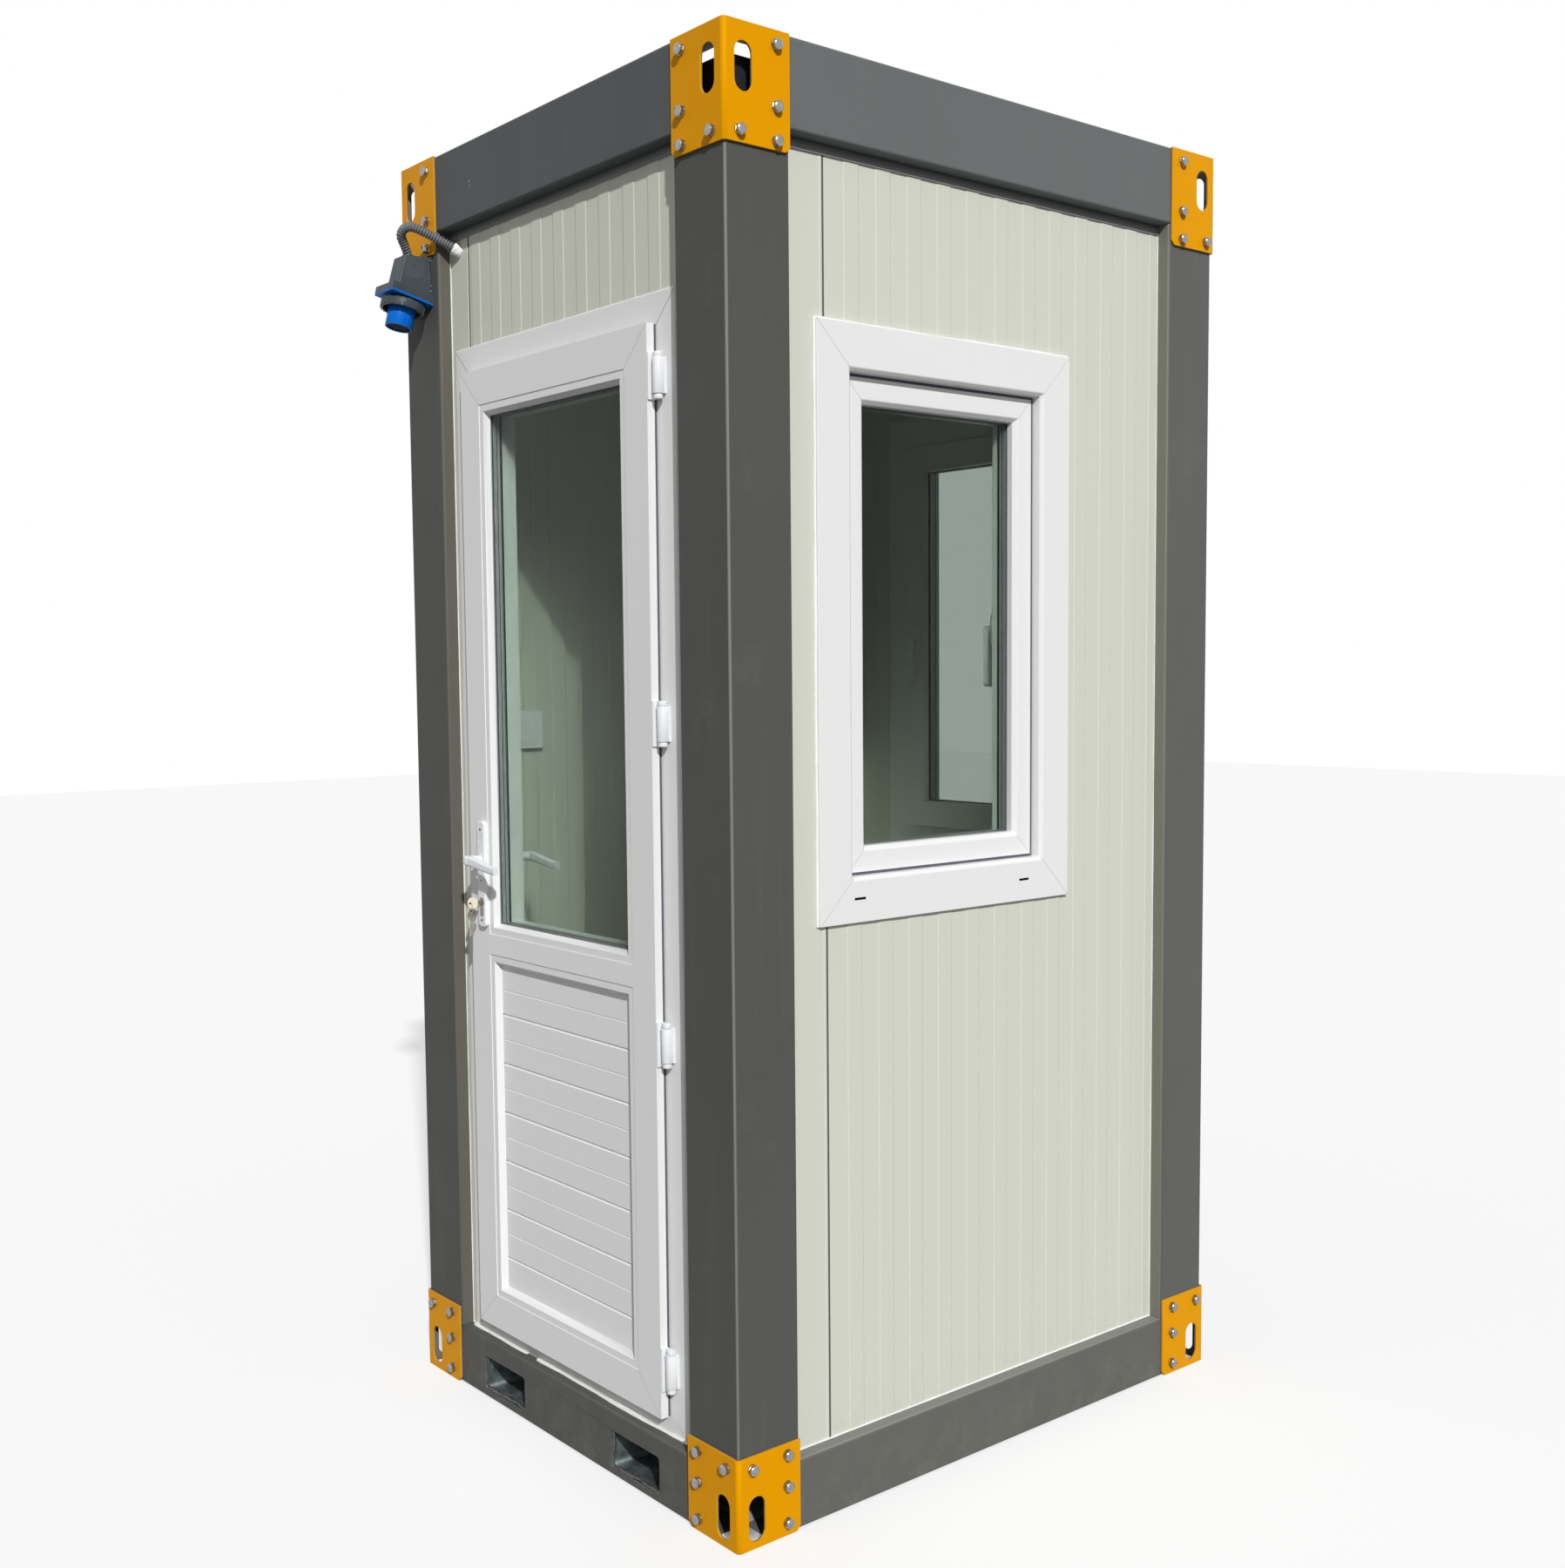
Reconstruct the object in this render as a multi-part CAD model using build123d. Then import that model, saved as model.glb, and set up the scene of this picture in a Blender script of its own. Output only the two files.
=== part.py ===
from build123d import *
import math
import os

# A small steel-framed portable cabin: an outer cage of cold-formed profiles tied by bent corner
# brackets, with an insulated box of panels inside it. The door is in the front, at low Y.
# Lengths are in millimetres. The origin is the centre of the footprint, on the ground.

# Outer size, measured over the corner brackets
cabin_width = 1060.0
cabin_depth = 1275.0
cabin_height = 2500.0
cut_overrun = 20.0

# Cold-formed frame
steel = 3.0
bend_radius = 5.0
post_face = 135.0
frame_recess = 29.5
top_beam_height = 148.0
base_beam_height = 122.0
flange_depth = 69.0
beam_end_gap = 1.0

# Corner brackets
bracket_plate = 5.0
bracket_width = 138.0
top_bracket_height = 189.0
base_bracket_height = 162.0
bracket_bend = 8.0
bracket_chamfer = 9.0
slot_width = 36.0
slot_height = 78.0
slot_from_corner = 41.0
top_slot_drop = 70.0
base_slot_rise = 51.0

# Fork pockets through the base
pocket_width = 152.0
pocket_height = 71.0
pocket_rise = 14.0
pocket_spacing = 449.0
pocket_wall = 3.0
pocket_corner = 9.0

# Insulated panels
wall_thickness = 60.0
ceiling_drop = 100.0
roof_thickness = 60.0
roof_rib_height = 20.0
roof_rib_base = 60.0
roof_rib_crest = 28.0
roof_rib_count = 4

# Windows
window_width = 646.0
window_height = 1030.0
window_head_drop = 335.0
side_window_y = -99.5
back_window_x = 0.0
window_proud = 9.0
window_frame_face = 80.0
window_frame_depth = 70.0
window_frame_bevel = 6.0
sash_gap = 5.0
sash_setback = 22.0
sash_face = 45.0
sash_lap = 16.0
sash_lap_thickness = 12.0
sash_bevel = 8.0
bead_depth = 20.0
glass_bite = 12.0
pane_thickness = 4.0
pane_spacing = 16.0

# Window handles, on the room side of each sash
handle_base_width = 30.0
handle_base_height = 66.0
handle_base_depth = 11.0
handle_base_round = 12.0
handle_neck_radius = 8.0
handle_neck_length = 24.0
handle_grip_length = 118.0
handle_grip_width = 17.0
handle_grip_depth = 13.0

# Door frame
door_left_margin = 16.0
door_right_margin = 34.0
door_head_drop = 282.0
door_frame_depth = 70.0
door_frame_proud = 4.0
door_frame_face = 66.0
threshold_face = 46.0

# Door leaf
leaf_overlap = 13.0
leaf_flange = 15.5
leaf_seal_gap = 5.5
leaf_depth = 70.0
leaf_rim_width = 14.0
leaf_rim_depth = 1.5
leaf_bead_width = 8.0
leaf_bead_depth = 14.0
lock_side_gap = 10.0
hinge_side_gap = 6.0
leaf_end_gap = 6.0
stile_face = 68.0
mid_rail_centre_z = 940.0
mid_rail_face = 40.0
board_pitch = 99.0
board_groove = 6.0
board_groove_depth = 3.0
board_line = 3.0
board_line_depth = 1.2

# Door hinges
hinge_barrel_radius = 10.0
hinge_end_radius = 8.0
hinge_pin_radius = 4.0
hinge_height = 79.0
hinge_knuckle = 9.0
hinge_gap = 0.4
hinge_offset = 17.0
hinge_flap = 4.0
hinge_flap_reach = 10.0
hinge_arm = 7.0
hinge_end_inset = 50.0
hinge_place_shares = (0.0, 0.34, 0.663, 1.0)

# Lever handle and lock
handle_plate_width = 28.0
handle_plate_height = 211.0
handle_plate_thickness = 9.0
handle_plate_inset = 54.0
handle_plate_centre_z = 1079.0
handle_plate_round = 9.0
handle_plate_edge = 2.5
lever_z = 1108.0
lock_spacing = 85.0
spindle_radius = 4.5
spindle_clearance = 1.0
lever_gap = 0.5
lever_root_radius = 8.5
lever_neck_radius = 10.5
lever_neck_length = 28.0
lever_length = 104.0
lever_droop = 12.0
lever_arm_shares = ((0.0, 0.0), (0.25, 0.16), (0.5, 0.5), (0.75, 0.84), (1.0, 1.0))
lever_width = 20.0
lever_tip_width = 16.0
lever_thickness = 14.0
lever_tip_thickness = 12.0
lever_round = 5.0
lever_neck_overlap = 0.8
lock_barrel_radius = 8.5
lock_web_width = 10.0
lock_web_height = 24.0
lock_proud = 0.5
lock_clearance = 0.8

# Power inlet on the front left post
inlet_from_corner = 75.0
inlet_width = 76.0
inlet_bracket_gap = 3.0
inlet_height = 92.0
inlet_low_depth = 90.0
inlet_rise = 22.0
inlet_flange = 14.0
inlet_back = 4.0
inlet_body_depth = 80.0
inlet_body_rear = 74.0
inlet_body_front = 50.0
inlet_top_depth = 54.0
inlet_top_rear = 64.0
inlet_top_front = 46.0
inlet_round = 4.0
inlet_gland_radius = 13.0
inlet_gland_height = 4.0
inlet_gland_depth = 34.5
inlet_gland_shift = 2.0
inlet_gasket = 4.0
collar_neck_radius = 34.0
collar_neck = 6.0
collar_radius = 43.0
collar_bore = 38.0
collar_floor = 4.0
collar_height = 17.0
shroud_radius = 27.0
shroud_wall = 3.0
shroud_length = 57.0
shroud_floor = 36.0
shroud_clearance = 0.3
contact_radius = 3.0
contact_length = 14.0
contact_circle = 11.0
contact_count = 3

# Conduit from the inlet to the front wall
conduit_radius = 9.5
conduit_from_post = 33.0
conduit_drop = 39.0
conduit_bend_share = 0.45
conduit_offsets = (
    (5.0, -10.0, 18.0),
    (16.0, -27.0, 36.0),
    (38.0, -21.0, 50.0),
    (55.0, 0.0, 39.0),
    (73.5, 32.5, 20.5),
)

# Light switch on the room side of the left wall
switch_size = 80.0
switch_depth = 13.0
switch_edge = 4.0
switch_from_front = 119.0
switch_z = 1356.0
rocker_size = 52.0
rocker_depth = 3.0

# Planes worked out from the sizes above
half_width = cabin_width / 2
half_depth = cabin_depth / 2
frame_x = half_width - bracket_plate
frame_y = half_depth - bracket_plate
wall_x = frame_x - frame_recess
wall_y = frame_y - frame_recess
inner_x = wall_x - wall_thickness
inner_y = wall_y - wall_thickness
post_top = cabin_height - top_beam_height
ceiling_height = cabin_height - ceiling_drop
window_centre_z = ceiling_height - window_head_drop - window_height / 2
bay_x = frame_x - post_face
bay_y = frame_y - post_face
beam_end = bracket_plate + flange_depth + beam_end_gap
pocket_centre_z = pocket_rise + pocket_height / 2
pocket_outer_height = pocket_height + 2 * pocket_wall
pocket_outer_width = pocket_width + 2 * pocket_wall
floor_low = pocket_centre_z + pocket_outer_height / 2

door_left = door_left_margin - bay_x
door_right = bay_x - door_right_margin
door_frame_top = ceiling_height - door_head_drop
door_bottom = base_beam_height
opening_left = door_left + door_frame_face
opening_right = door_right - door_frame_face
opening_top = door_frame_top - door_frame_face
opening_bottom = door_bottom + threshold_face
door_face_y = -wall_y - door_frame_proud

leaf_left = opening_left - leaf_overlap
leaf_right = opening_right + leaf_overlap
leaf_top = opening_top + leaf_overlap
leaf_bottom = opening_bottom - leaf_overlap
leaf_face_y = door_face_y - leaf_seal_gap - leaf_flange
leaf_back_y = leaf_face_y + leaf_depth
light_inset = leaf_rim_width + leaf_bead_width
light_left = leaf_left + stile_face + light_inset
light_right = leaf_right - stile_face - light_inset
glass_top = leaf_top - stile_face - light_inset
glass_bottom = mid_rail_centre_z + mid_rail_face / 2 + light_inset
panel_top = mid_rail_centre_z - mid_rail_face / 2 - light_inset
panel_bottom = leaf_bottom + stile_face + light_inset
glazing_depth = 2 * pane_thickness + pane_spacing
glazing_y = leaf_face_y + leaf_bead_depth

hinge_x = leaf_right + hinge_offset
hinge_y = door_face_y - hinge_barrel_radius
handle_x = leaf_left + handle_plate_inset
lock_z = lever_z - lock_spacing

inlet_centre_x = inlet_from_corner - frame_x
inlet_top_z = cabin_height - top_bracket_height - inlet_bracket_gap
conduit_wall_x = conduit_from_post - bay_x
conduit_wall_z = post_top - conduit_drop
switch_y = switch_from_front - inner_y


def block(x_low, x_high, y_low, y_high, z_low, z_high):
    """A box between two opposite corners."""
    centre = Pos((x_low + x_high) / 2, (y_low + y_high) / 2, (z_low + z_high) / 2)
    return centre * Box(x_high - x_low, y_high - y_low, z_high - z_low)


def outline(points):
    """A flat face inside a closed run of straight edges."""
    return make_face(Polyline(*points, close=True))


def bend(face, corners, radius):
    """Rounds the named corners of a face, as a press brake leaves them."""
    picked = [face.vertices().sort_by_distance(corner)[0] for corner in corners]
    return fillet(picked, radius)


def four_corners(shape):
    """The shape at the back right corner, and its mirror images at the other three."""
    back_left = mirror(shape, about=Plane.YZ)
    front_right = mirror(shape, about=Plane.XZ)
    front_left = mirror(back_left, about=Plane.XZ)
    return {
        "front_left": front_left,
        "front_right": front_right,
        "back_left": back_left,
        "back_right": shape,
    }


def corner_post():
    """Angle post with a return along each free edge, between the base and top beams."""
    corner = (frame_x, frame_y)
    edge_x = (bay_x, frame_y)
    edge_y = (frame_x, bay_y)
    inner = (frame_x - steel, frame_y - steel)
    inner_edge_x = (bay_x + steel, frame_y - steel)
    inner_edge_y = (frame_x - steel, bay_y + steel)
    face = outline([
        corner,
        edge_x,
        (bay_x, wall_y),
        (bay_x + steel, wall_y),
        inner_edge_x,
        inner,
        inner_edge_y,
        (wall_x, bay_y + steel),
        (wall_x, bay_y),
        edge_y,
    ])
    face = bend(face, [corner, edge_x, edge_y], bend_radius)
    face = bend(face, [inner, inner_edge_x, inner_edge_y], bend_radius - steel)
    post = extrude(face, amount=post_top - base_beam_height, dir=(0, 0, 1))
    return Pos(0, 0, base_beam_height) * post


def bracket(height, low_z, slot_z, chamfer_z):
    """Bent corner plate with one long slot in each flange and clipped free corners."""
    corner = (half_width, half_depth)
    inner = (frame_x, frame_y)
    face = outline([
        corner,
        (half_width - bracket_width, half_depth),
        (half_width - bracket_width, frame_y),
        inner,
        (frame_x, half_depth - bracket_width),
        (half_width, half_depth - bracket_width),
    ])
    face = bend(face, [corner], bracket_bend)
    face = bend(face, [inner], bracket_bend - bracket_plate)
    plate = Pos(0, 0, low_z) * extrude(face, amount=height, dir=(0, 0, 1))
    end_of_back = (half_width - bracket_width, half_depth - bracket_plate / 2, chamfer_z)
    end_of_side = (half_width - bracket_plate / 2, half_depth - bracket_width, chamfer_z)
    free_corners = [plate.edges().sort_by_distance(end)[0] for end in (end_of_back, end_of_side)]
    plate = chamfer(free_corners, bracket_chamfer)
    slot = SlotOverall(slot_height, slot_width, rotation=90)
    on_back = Plane((half_width - slot_from_corner, half_depth, slot_z), x_dir=(1, 0, 0), z_dir=(0, -1, 0))
    on_side = Plane((half_width, half_depth - slot_from_corner, slot_z), x_dir=(0, 1, 0), z_dir=(1, 0, 0))
    plate -= extrude(on_back * slot, amount=bracket_plate + cut_overrun, both=True)
    plate -= extrude(on_side * slot, amount=bracket_plate + cut_overrun, both=True)
    return plate


def top_section():
    """Top beam profile as (depth behind the outer face, height)."""
    low = post_top
    high = cabin_height
    return [
        (0, high),
        (0, low),
        (frame_recess, low),
        (frame_recess, low + steel),
        (steel, low + steel),
        (steel, high - steel),
        (flange_depth, high - steel),
        (flange_depth, high),
    ]


def base_section():
    """Base beam profile, a channel whose upper flange is the ledge that carries the walls."""
    high = base_beam_height
    return [
        (0, 0),
        (0, high),
        (flange_depth, high),
        (flange_depth, high - steel),
        (steel, high - steel),
        (steel, steel),
        (flange_depth, steel),
        (flange_depth, 0),
    ]


def front_beam(section):
    """A profile along X with its outer face on the front of the frame."""
    face = outline([(0, -frame_y + depth, height) for depth, height in section])
    outer = [(0, -frame_y, section[0][1]), (0, -frame_y, section[1][1])]
    face = bend(face, outer, bend_radius)
    return extrude(face, amount=half_width - beam_end, dir=(1, 0, 0), both=True)


def side_beam(section):
    """A profile along Y with its outer face on the right of the frame."""
    face = outline([(frame_x - depth, 0, height) for depth, height in section])
    outer = [(frame_x, 0, section[0][1]), (frame_x, 0, section[1][1])]
    face = bend(face, outer, bend_radius)
    return extrude(face, amount=half_depth - beam_end, dir=(0, 1, 0), both=True)


def pocket_cut():
    """Both fork openings through the web of a base beam on the front."""
    web = Plane((0, -frame_y, pocket_centre_z), x_dir=(1, 0, 0), z_dir=(0, -1, 0))
    opening = RectangleRounded(pocket_width, pocket_height, pocket_corner)
    cut = extrude(web * opening, amount=steel + cut_overrun, both=True)
    left = Pos(-pocket_spacing / 2, 0, 0) * cut
    right = Pos(pocket_spacing / 2, 0, 0) * cut
    return left + right


def fork_pocket(side):
    """Rectangular tube from the front web to the back web."""
    run = Plane((side * pocket_spacing / 2, 0, pocket_centre_z), x_dir=(1, 0, 0), z_dir=(0, -1, 0))
    tube = RectangleRounded(pocket_outer_width, pocket_outer_height, pocket_corner + pocket_wall)
    tube -= RectangleRounded(pocket_width, pocket_height, pocket_corner)
    return extrude(run * tube, amount=frame_y - steel, both=True)


def roof_panel():
    """Insulated roof panel with trapezoidal ribs running front to back."""
    high = ceiling_height + roof_thickness
    panel = block(-wall_x, wall_x, -wall_y, wall_y, ceiling_height, high)
    rib = outline([
        (-roof_rib_base / 2, 0, 0),
        (-roof_rib_crest / 2, 0, roof_rib_height),
        (roof_rib_crest / 2, 0, roof_rib_height),
        (roof_rib_base / 2, 0, 0),
    ])
    rib = extrude(rib, amount=wall_y, dir=(0, 1, 0), both=True)
    for number in range(roof_rib_count):
        rib_x = (number - (roof_rib_count - 1) / 2) * 2 * wall_x / roof_rib_count
        panel += Pos(rib_x, 0, high) * rib
    return panel


def window_hole(place):
    """The opening that a window frame fills in its wall."""
    hole = extrude(Rectangle(window_width, window_height), amount=wall_thickness + cut_overrun, both=True)
    return place * hole


def ring(width, height, face, low, high):
    """A rectangular frame of even face width between two depths."""
    border = Rectangle(width, height) - Rectangle(width - 2 * face, height - 2 * face)
    return Pos(0, 0, low) * extrude(border, amount=high - low)


def window(place):
    """Frame, inward-opening sash and double glazing of one window, with the local Z outward."""
    outer_z = window_proud
    inner_z = window_proud - window_frame_depth
    frame = ring(window_width, window_height, window_frame_face, inner_z, outer_z)
    rim = frame.faces().sort_by(Axis.Z)[-1].inner_wires()[0].edges()
    frame = chamfer(rim, window_frame_bevel)
    sash_outer = outer_z - sash_setback
    sash_inner = inner_z - sash_lap_thickness
    sash_width = window_width - 2 * (window_frame_face + sash_gap)
    sash_height = window_height - 2 * (window_frame_face + sash_gap)
    sash = ring(sash_width, sash_height, sash_face, sash_inner, sash_outer)
    rim = sash.faces().sort_by(Axis.Z)[-1].inner_wires()[0].edges()
    sash = chamfer(rim, sash_bevel)
    sash += ring(sash_width + 2 * sash_lap, sash_height + 2 * sash_lap, sash_lap, sash_inner, inner_z)
    pane_width = sash_width - 2 * (sash_face - glass_bite)
    pane_height = sash_height - 2 * (sash_face - glass_bite)
    glazing_high = sash_outer - bead_depth
    glazing_low = glazing_high - glazing_depth
    groove = extrude(Rectangle(pane_width, pane_height), amount=glazing_depth)
    sash -= Pos(0, 0, glazing_low) * groove
    pane = extrude(Rectangle(pane_width, pane_height), amount=pane_thickness)
    panes = Pos(0, 0, glazing_low) * pane + Pos(0, 0, glazing_high - pane_thickness) * pane
    handle = window_handle(sash_width / 2 - sash_face / 2, sash_inner)
    return place * frame, place * sash, place * panes, place * handle


def window_handle(across, seat):
    """Turn handle hanging down from its base on the room side of a sash."""
    base = RectangleRounded(handle_base_width, handle_base_height, handle_base_round)
    handle = Pos(across, 0, seat) * extrude(base, amount=-handle_base_depth)
    neck_low = seat - handle_base_depth
    neck = extrude(Circle(handle_neck_radius), amount=-handle_neck_length)
    handle += Pos(across, 0, neck_low) * neck
    grip = RectangleRounded(handle_grip_width, handle_grip_length, handle_neck_radius)
    grip_y = handle_grip_width / 2 - handle_grip_length / 2
    grip_z = neck_low - handle_neck_length + handle_grip_depth
    handle += Pos(across, grip_y, grip_z) * extrude(grip, amount=-handle_grip_depth)
    return handle


def frame_bar(corners):
    """One mitred door frame profile."""
    bar = outline([(x, door_face_y, z) for x, z in corners])
    return extrude(bar, amount=door_frame_depth, dir=(0, 1, 0))


def door_frame():
    """The four bars of the door frame, mitred at the corners."""
    outer = [
        (door_left, door_bottom),
        (door_left, door_frame_top),
        (door_right, door_frame_top),
        (door_right, door_bottom),
    ]
    inner = [
        (opening_left, opening_bottom),
        (opening_left, opening_top),
        (opening_right, opening_top),
        (opening_right, opening_bottom),
    ]
    names = ["door_jamb_lock_side", "door_head", "door_jamb_hinge_side", "door_threshold"]
    bars = {}
    for number, name in enumerate(names):
        after = (number + 1) % len(names)
        bar = [outer[number], outer[after], inner[after], inner[number]]
        bars[name] = frame_bar(bar)
    return bars


def lock_shape(clearance):
    """Outline of the lock cylinder, a round barrel above a narrow web."""
    barrel = Circle(lock_barrel_radius + clearance)
    web = Rectangle(lock_web_width + 2 * clearance, lock_web_height + clearance)
    web_foot = Pos(0, clearance - lock_web_height / 2) * Circle(lock_web_width / 2 + clearance)
    return barrel + Pos(0, -lock_web_height / 2) * web + Pos(0, -lock_web_height / 2) * web_foot


def lock_plane(y):
    """A plane on the lock's axis that faces the front."""
    return Plane((handle_x, y, lock_z), x_dir=(1, 0, 0), z_dir=(0, -1, 0))


def lever_plane(y):
    """A plane on the lever's axis that faces the front."""
    return Plane((handle_x, y, lever_z), x_dir=(1, 0, 0), z_dir=(0, -1, 0))


def lock_bores():
    """The cylinder hole and the spindle hole, right through leaf and plates."""
    low = leaf_back_y + handle_plate_thickness + cut_overrun
    reach = leaf_depth + 2 * (handle_plate_thickness + cut_overrun)
    bores = extrude(lock_plane(low) * lock_shape(lock_clearance), amount=reach)
    bores += extrude(lever_plane(low) * Circle(spindle_radius + spindle_clearance), amount=reach)
    return bores


def light(z_low, z_high):
    """One opening of the leaf, with its shallow rim, sloped bead and groove for what fills it."""
    centre_z = (z_low + z_high) / 2
    width = light_right - light_left
    height = z_high - z_low
    centre_x = (light_left + light_right) / 2
    front = Plane((centre_x, leaf_face_y, centre_z), x_dir=(1, 0, 0), z_dir=(0, -1, 0))
    cut = extrude(front * Rectangle(width, height), amount=-leaf_depth - cut_overrun)
    rim = Rectangle(width + 2 * light_inset, height + 2 * light_inset)
    cut += extrude(front * rim, amount=-leaf_rim_depth)
    bead = Rectangle(width + 2 * leaf_bead_width, height + 2 * leaf_bead_width)
    cut += loft([
        front.offset(-leaf_rim_depth) * bead,
        front.offset(-leaf_bead_depth) * Rectangle(width, height),
    ])
    groove = Rectangle(width + 2 * glass_bite, height + 2 * glass_bite)
    cut += extrude(front.offset(-leaf_bead_depth) * groove, amount=-glazing_depth)
    return cut


def door_leaf():
    """Leaf with an overlapping front flange, a mid rail and two openings."""
    leaf = block(leaf_left, leaf_right, leaf_face_y, leaf_face_y + leaf_flange, leaf_bottom, leaf_top)
    leaf += block(
        opening_left + lock_side_gap,
        opening_right - hinge_side_gap,
        leaf_face_y + leaf_flange,
        leaf_back_y,
        opening_bottom + leaf_end_gap,
        opening_top - leaf_end_gap,
    )
    leaf -= light(glass_bottom, glass_top)
    leaf -= light(panel_bottom, panel_top)
    return leaf - lock_bores()


def door_glass():
    """Two panes of the glazed upper opening."""
    low = glass_bottom - glass_bite
    high = glass_top + glass_bite
    left = light_left - glass_bite
    right = light_right + glass_bite
    inner_y = glazing_y + glazing_depth
    outer_pane = block(left, right, glazing_y, glazing_y + pane_thickness, low, high)
    inner_pane = block(left, right, inner_y - pane_thickness, inner_y, low, high)
    return outer_pane + inner_pane


def door_panel():
    """Lower panel with level board joints on the outside."""
    low = panel_bottom - glass_bite
    high = panel_top + glass_bite
    left = light_left - glass_bite
    right = light_right + glass_bite
    panel = block(left, right, glazing_y, glazing_y + glazing_depth, low, high)
    for number in range(int((high - low) / board_pitch)):
        joint_z = high - glass_bite - (number + 1) * board_pitch
        line_z = joint_z + board_pitch / 2
        panel -= board_cut(left, right, joint_z, board_groove, board_groove_depth)
        panel -= board_cut(left, right, line_z, board_line, board_line_depth)
    return panel


def board_cut(left, right, centre_z, width, depth):
    """A V-shaped groove along a board joint."""
    groove = outline([
        (left, glazing_y, centre_z - width / 2),
        (left, glazing_y, centre_z + width / 2),
        (left, glazing_y + depth, centre_z),
    ])
    return extrude(groove, amount=right - left, dir=(1, 0, 0))


def hinges():
    """Frame knuckles with their pins, and leaf knuckles, for every hinge."""
    frame_parts = []
    leaf_parts = []
    first_low = leaf_top - hinge_end_inset - hinge_height
    last_low = leaf_bottom + hinge_end_inset
    for share in hinge_place_shares:
        low_z = first_low + (last_low - first_low) * share
        top_z = low_z + hinge_height
        knuckle_low = low_z + hinge_knuckle
        knuckle_high = top_z - hinge_knuckle
        axis = Pos(hinge_x, hinge_y, low_z)
        upright = Align.CENTER, Align.CENTER, Align.MIN
        middle_height = knuckle_high - knuckle_low
        middle = Pos(0, 0, hinge_knuckle) * Cylinder(hinge_barrel_radius, middle_height, align=upright)
        pin = Cylinder(hinge_pin_radius, hinge_height, align=upright)
        flap_right = hinge_x + hinge_flap_reach
        flap = block(hinge_x, flap_right, door_face_y - hinge_flap, door_face_y, knuckle_low, knuckle_high)
        frame_parts.append(axis * (middle + pin) + flap)
        end = Cylinder(hinge_end_radius, hinge_knuckle - hinge_gap, align=upright)
        end -= Cylinder(hinge_pin_radius + hinge_gap, hinge_knuckle, align=upright)
        ends = axis * end + Pos(0, 0, hinge_height - hinge_knuckle + hinge_gap) * axis * end
        arm_high = hinge_x - hinge_pin_radius - 2 * hinge_gap
        arm_y = hinge_y - hinge_arm / 2
        for arm_z in (low_z, knuckle_high + hinge_gap):
            arm_top = arm_z + hinge_knuckle - hinge_gap
            ends += block(leaf_right, arm_high, arm_y, arm_y + hinge_arm, arm_z, arm_top)
        flange_back = leaf_face_y + leaf_flange
        ends += block(leaf_right, leaf_right + hinge_flap, leaf_face_y, flange_back, low_z, top_z)
        leaf_parts.append(ends)
    return Part() + frame_parts, Part() + leaf_parts


def handle_plate(seat_y, outward):
    """Long plate on one face of the leaf, with holes for the spindle and the lock."""
    face = Plane((handle_x, seat_y, handle_plate_centre_z), x_dir=(1, 0, 0), z_dir=(0, outward, 0))
    plate = RectangleRounded(handle_plate_width, handle_plate_height, handle_plate_round)
    plate = extrude(face * plate, amount=handle_plate_thickness)
    rim = plate.faces().sort_by(Axis.Y)[-1 if outward > 0 else 0].edges()
    plate = fillet(rim, handle_plate_edge)
    return plate - lock_bores()


def lever(seat_y, outward):
    """Lever with a flared neck and a tapered arm that dips, then runs level to its end."""
    root_y = seat_y + outward * lever_gap
    elbow_y = root_y + outward * lever_neck_length
    face = Plane((handle_x, root_y, lever_z), x_dir=(1, 0, 0), z_dir=(0, outward, 0))
    root = face * Circle(lever_root_radius)
    neck_end = lever_neck_length + lever_thickness / 2 + lever_neck_overlap
    part = loft([root, face.offset(neck_end) * Circle(lever_neck_radius)])
    rim = part.faces().sort_by(Axis.Y)[-1 if outward > 0 else 0].edges()
    part = fillet(rim, lever_round)
    elbow = Vector(handle_x, elbow_y, lever_z)
    sections = []
    for along_share, down_share in lever_arm_shares:
        centre = elbow + Vector(lever_length * along_share, 0, -lever_droop * down_share)
        thickness = lever_thickness + (lever_tip_thickness - lever_thickness) * along_share
        width = lever_width + (lever_tip_width - lever_width) * along_share
        across = Plane(centre, x_dir=(0, 1, 0), z_dir=(1, 0, 0))
        sections.append(across * RectangleRounded(thickness, width, lever_round))
    part += loft(sections)
    return part


def levers():
    """Outside lever with the spindle, and inside lever."""
    outer_seat = leaf_face_y - handle_plate_thickness
    inner_seat = leaf_back_y + handle_plate_thickness
    outside = lever(outer_seat, -1)
    inside = lever(inner_seat, 1)
    spindle_start = outer_seat - lever_gap
    spindle_length = inner_seat + lever_gap - spindle_start
    outside += extrude(lever_plane(spindle_start) * Circle(spindle_radius), amount=-spindle_length)
    return outside, inside


def lock_cylinder():
    """Profile cylinder, a little proud of both handle plates."""
    low = leaf_back_y + handle_plate_thickness + lock_proud
    length = leaf_depth + 2 * (handle_plate_thickness + lock_proud)
    return extrude(lock_plane(low) * lock_shape(0), amount=length)


def inlet_plane():
    """The sloped underside of the inlet housing, facing down and forward."""
    rear = Vector(inlet_centre_x, -frame_y, inlet_top_z - inlet_height)
    front = Vector(inlet_centre_x, -frame_y - inlet_low_depth, inlet_top_z - inlet_height + inlet_rise)
    slope = front - rear
    normal = Vector(1, 0, 0).cross(slope)
    return Plane((rear + front) / 2, x_dir=(1, 0, 0), z_dir=normal), slope.length


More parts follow.
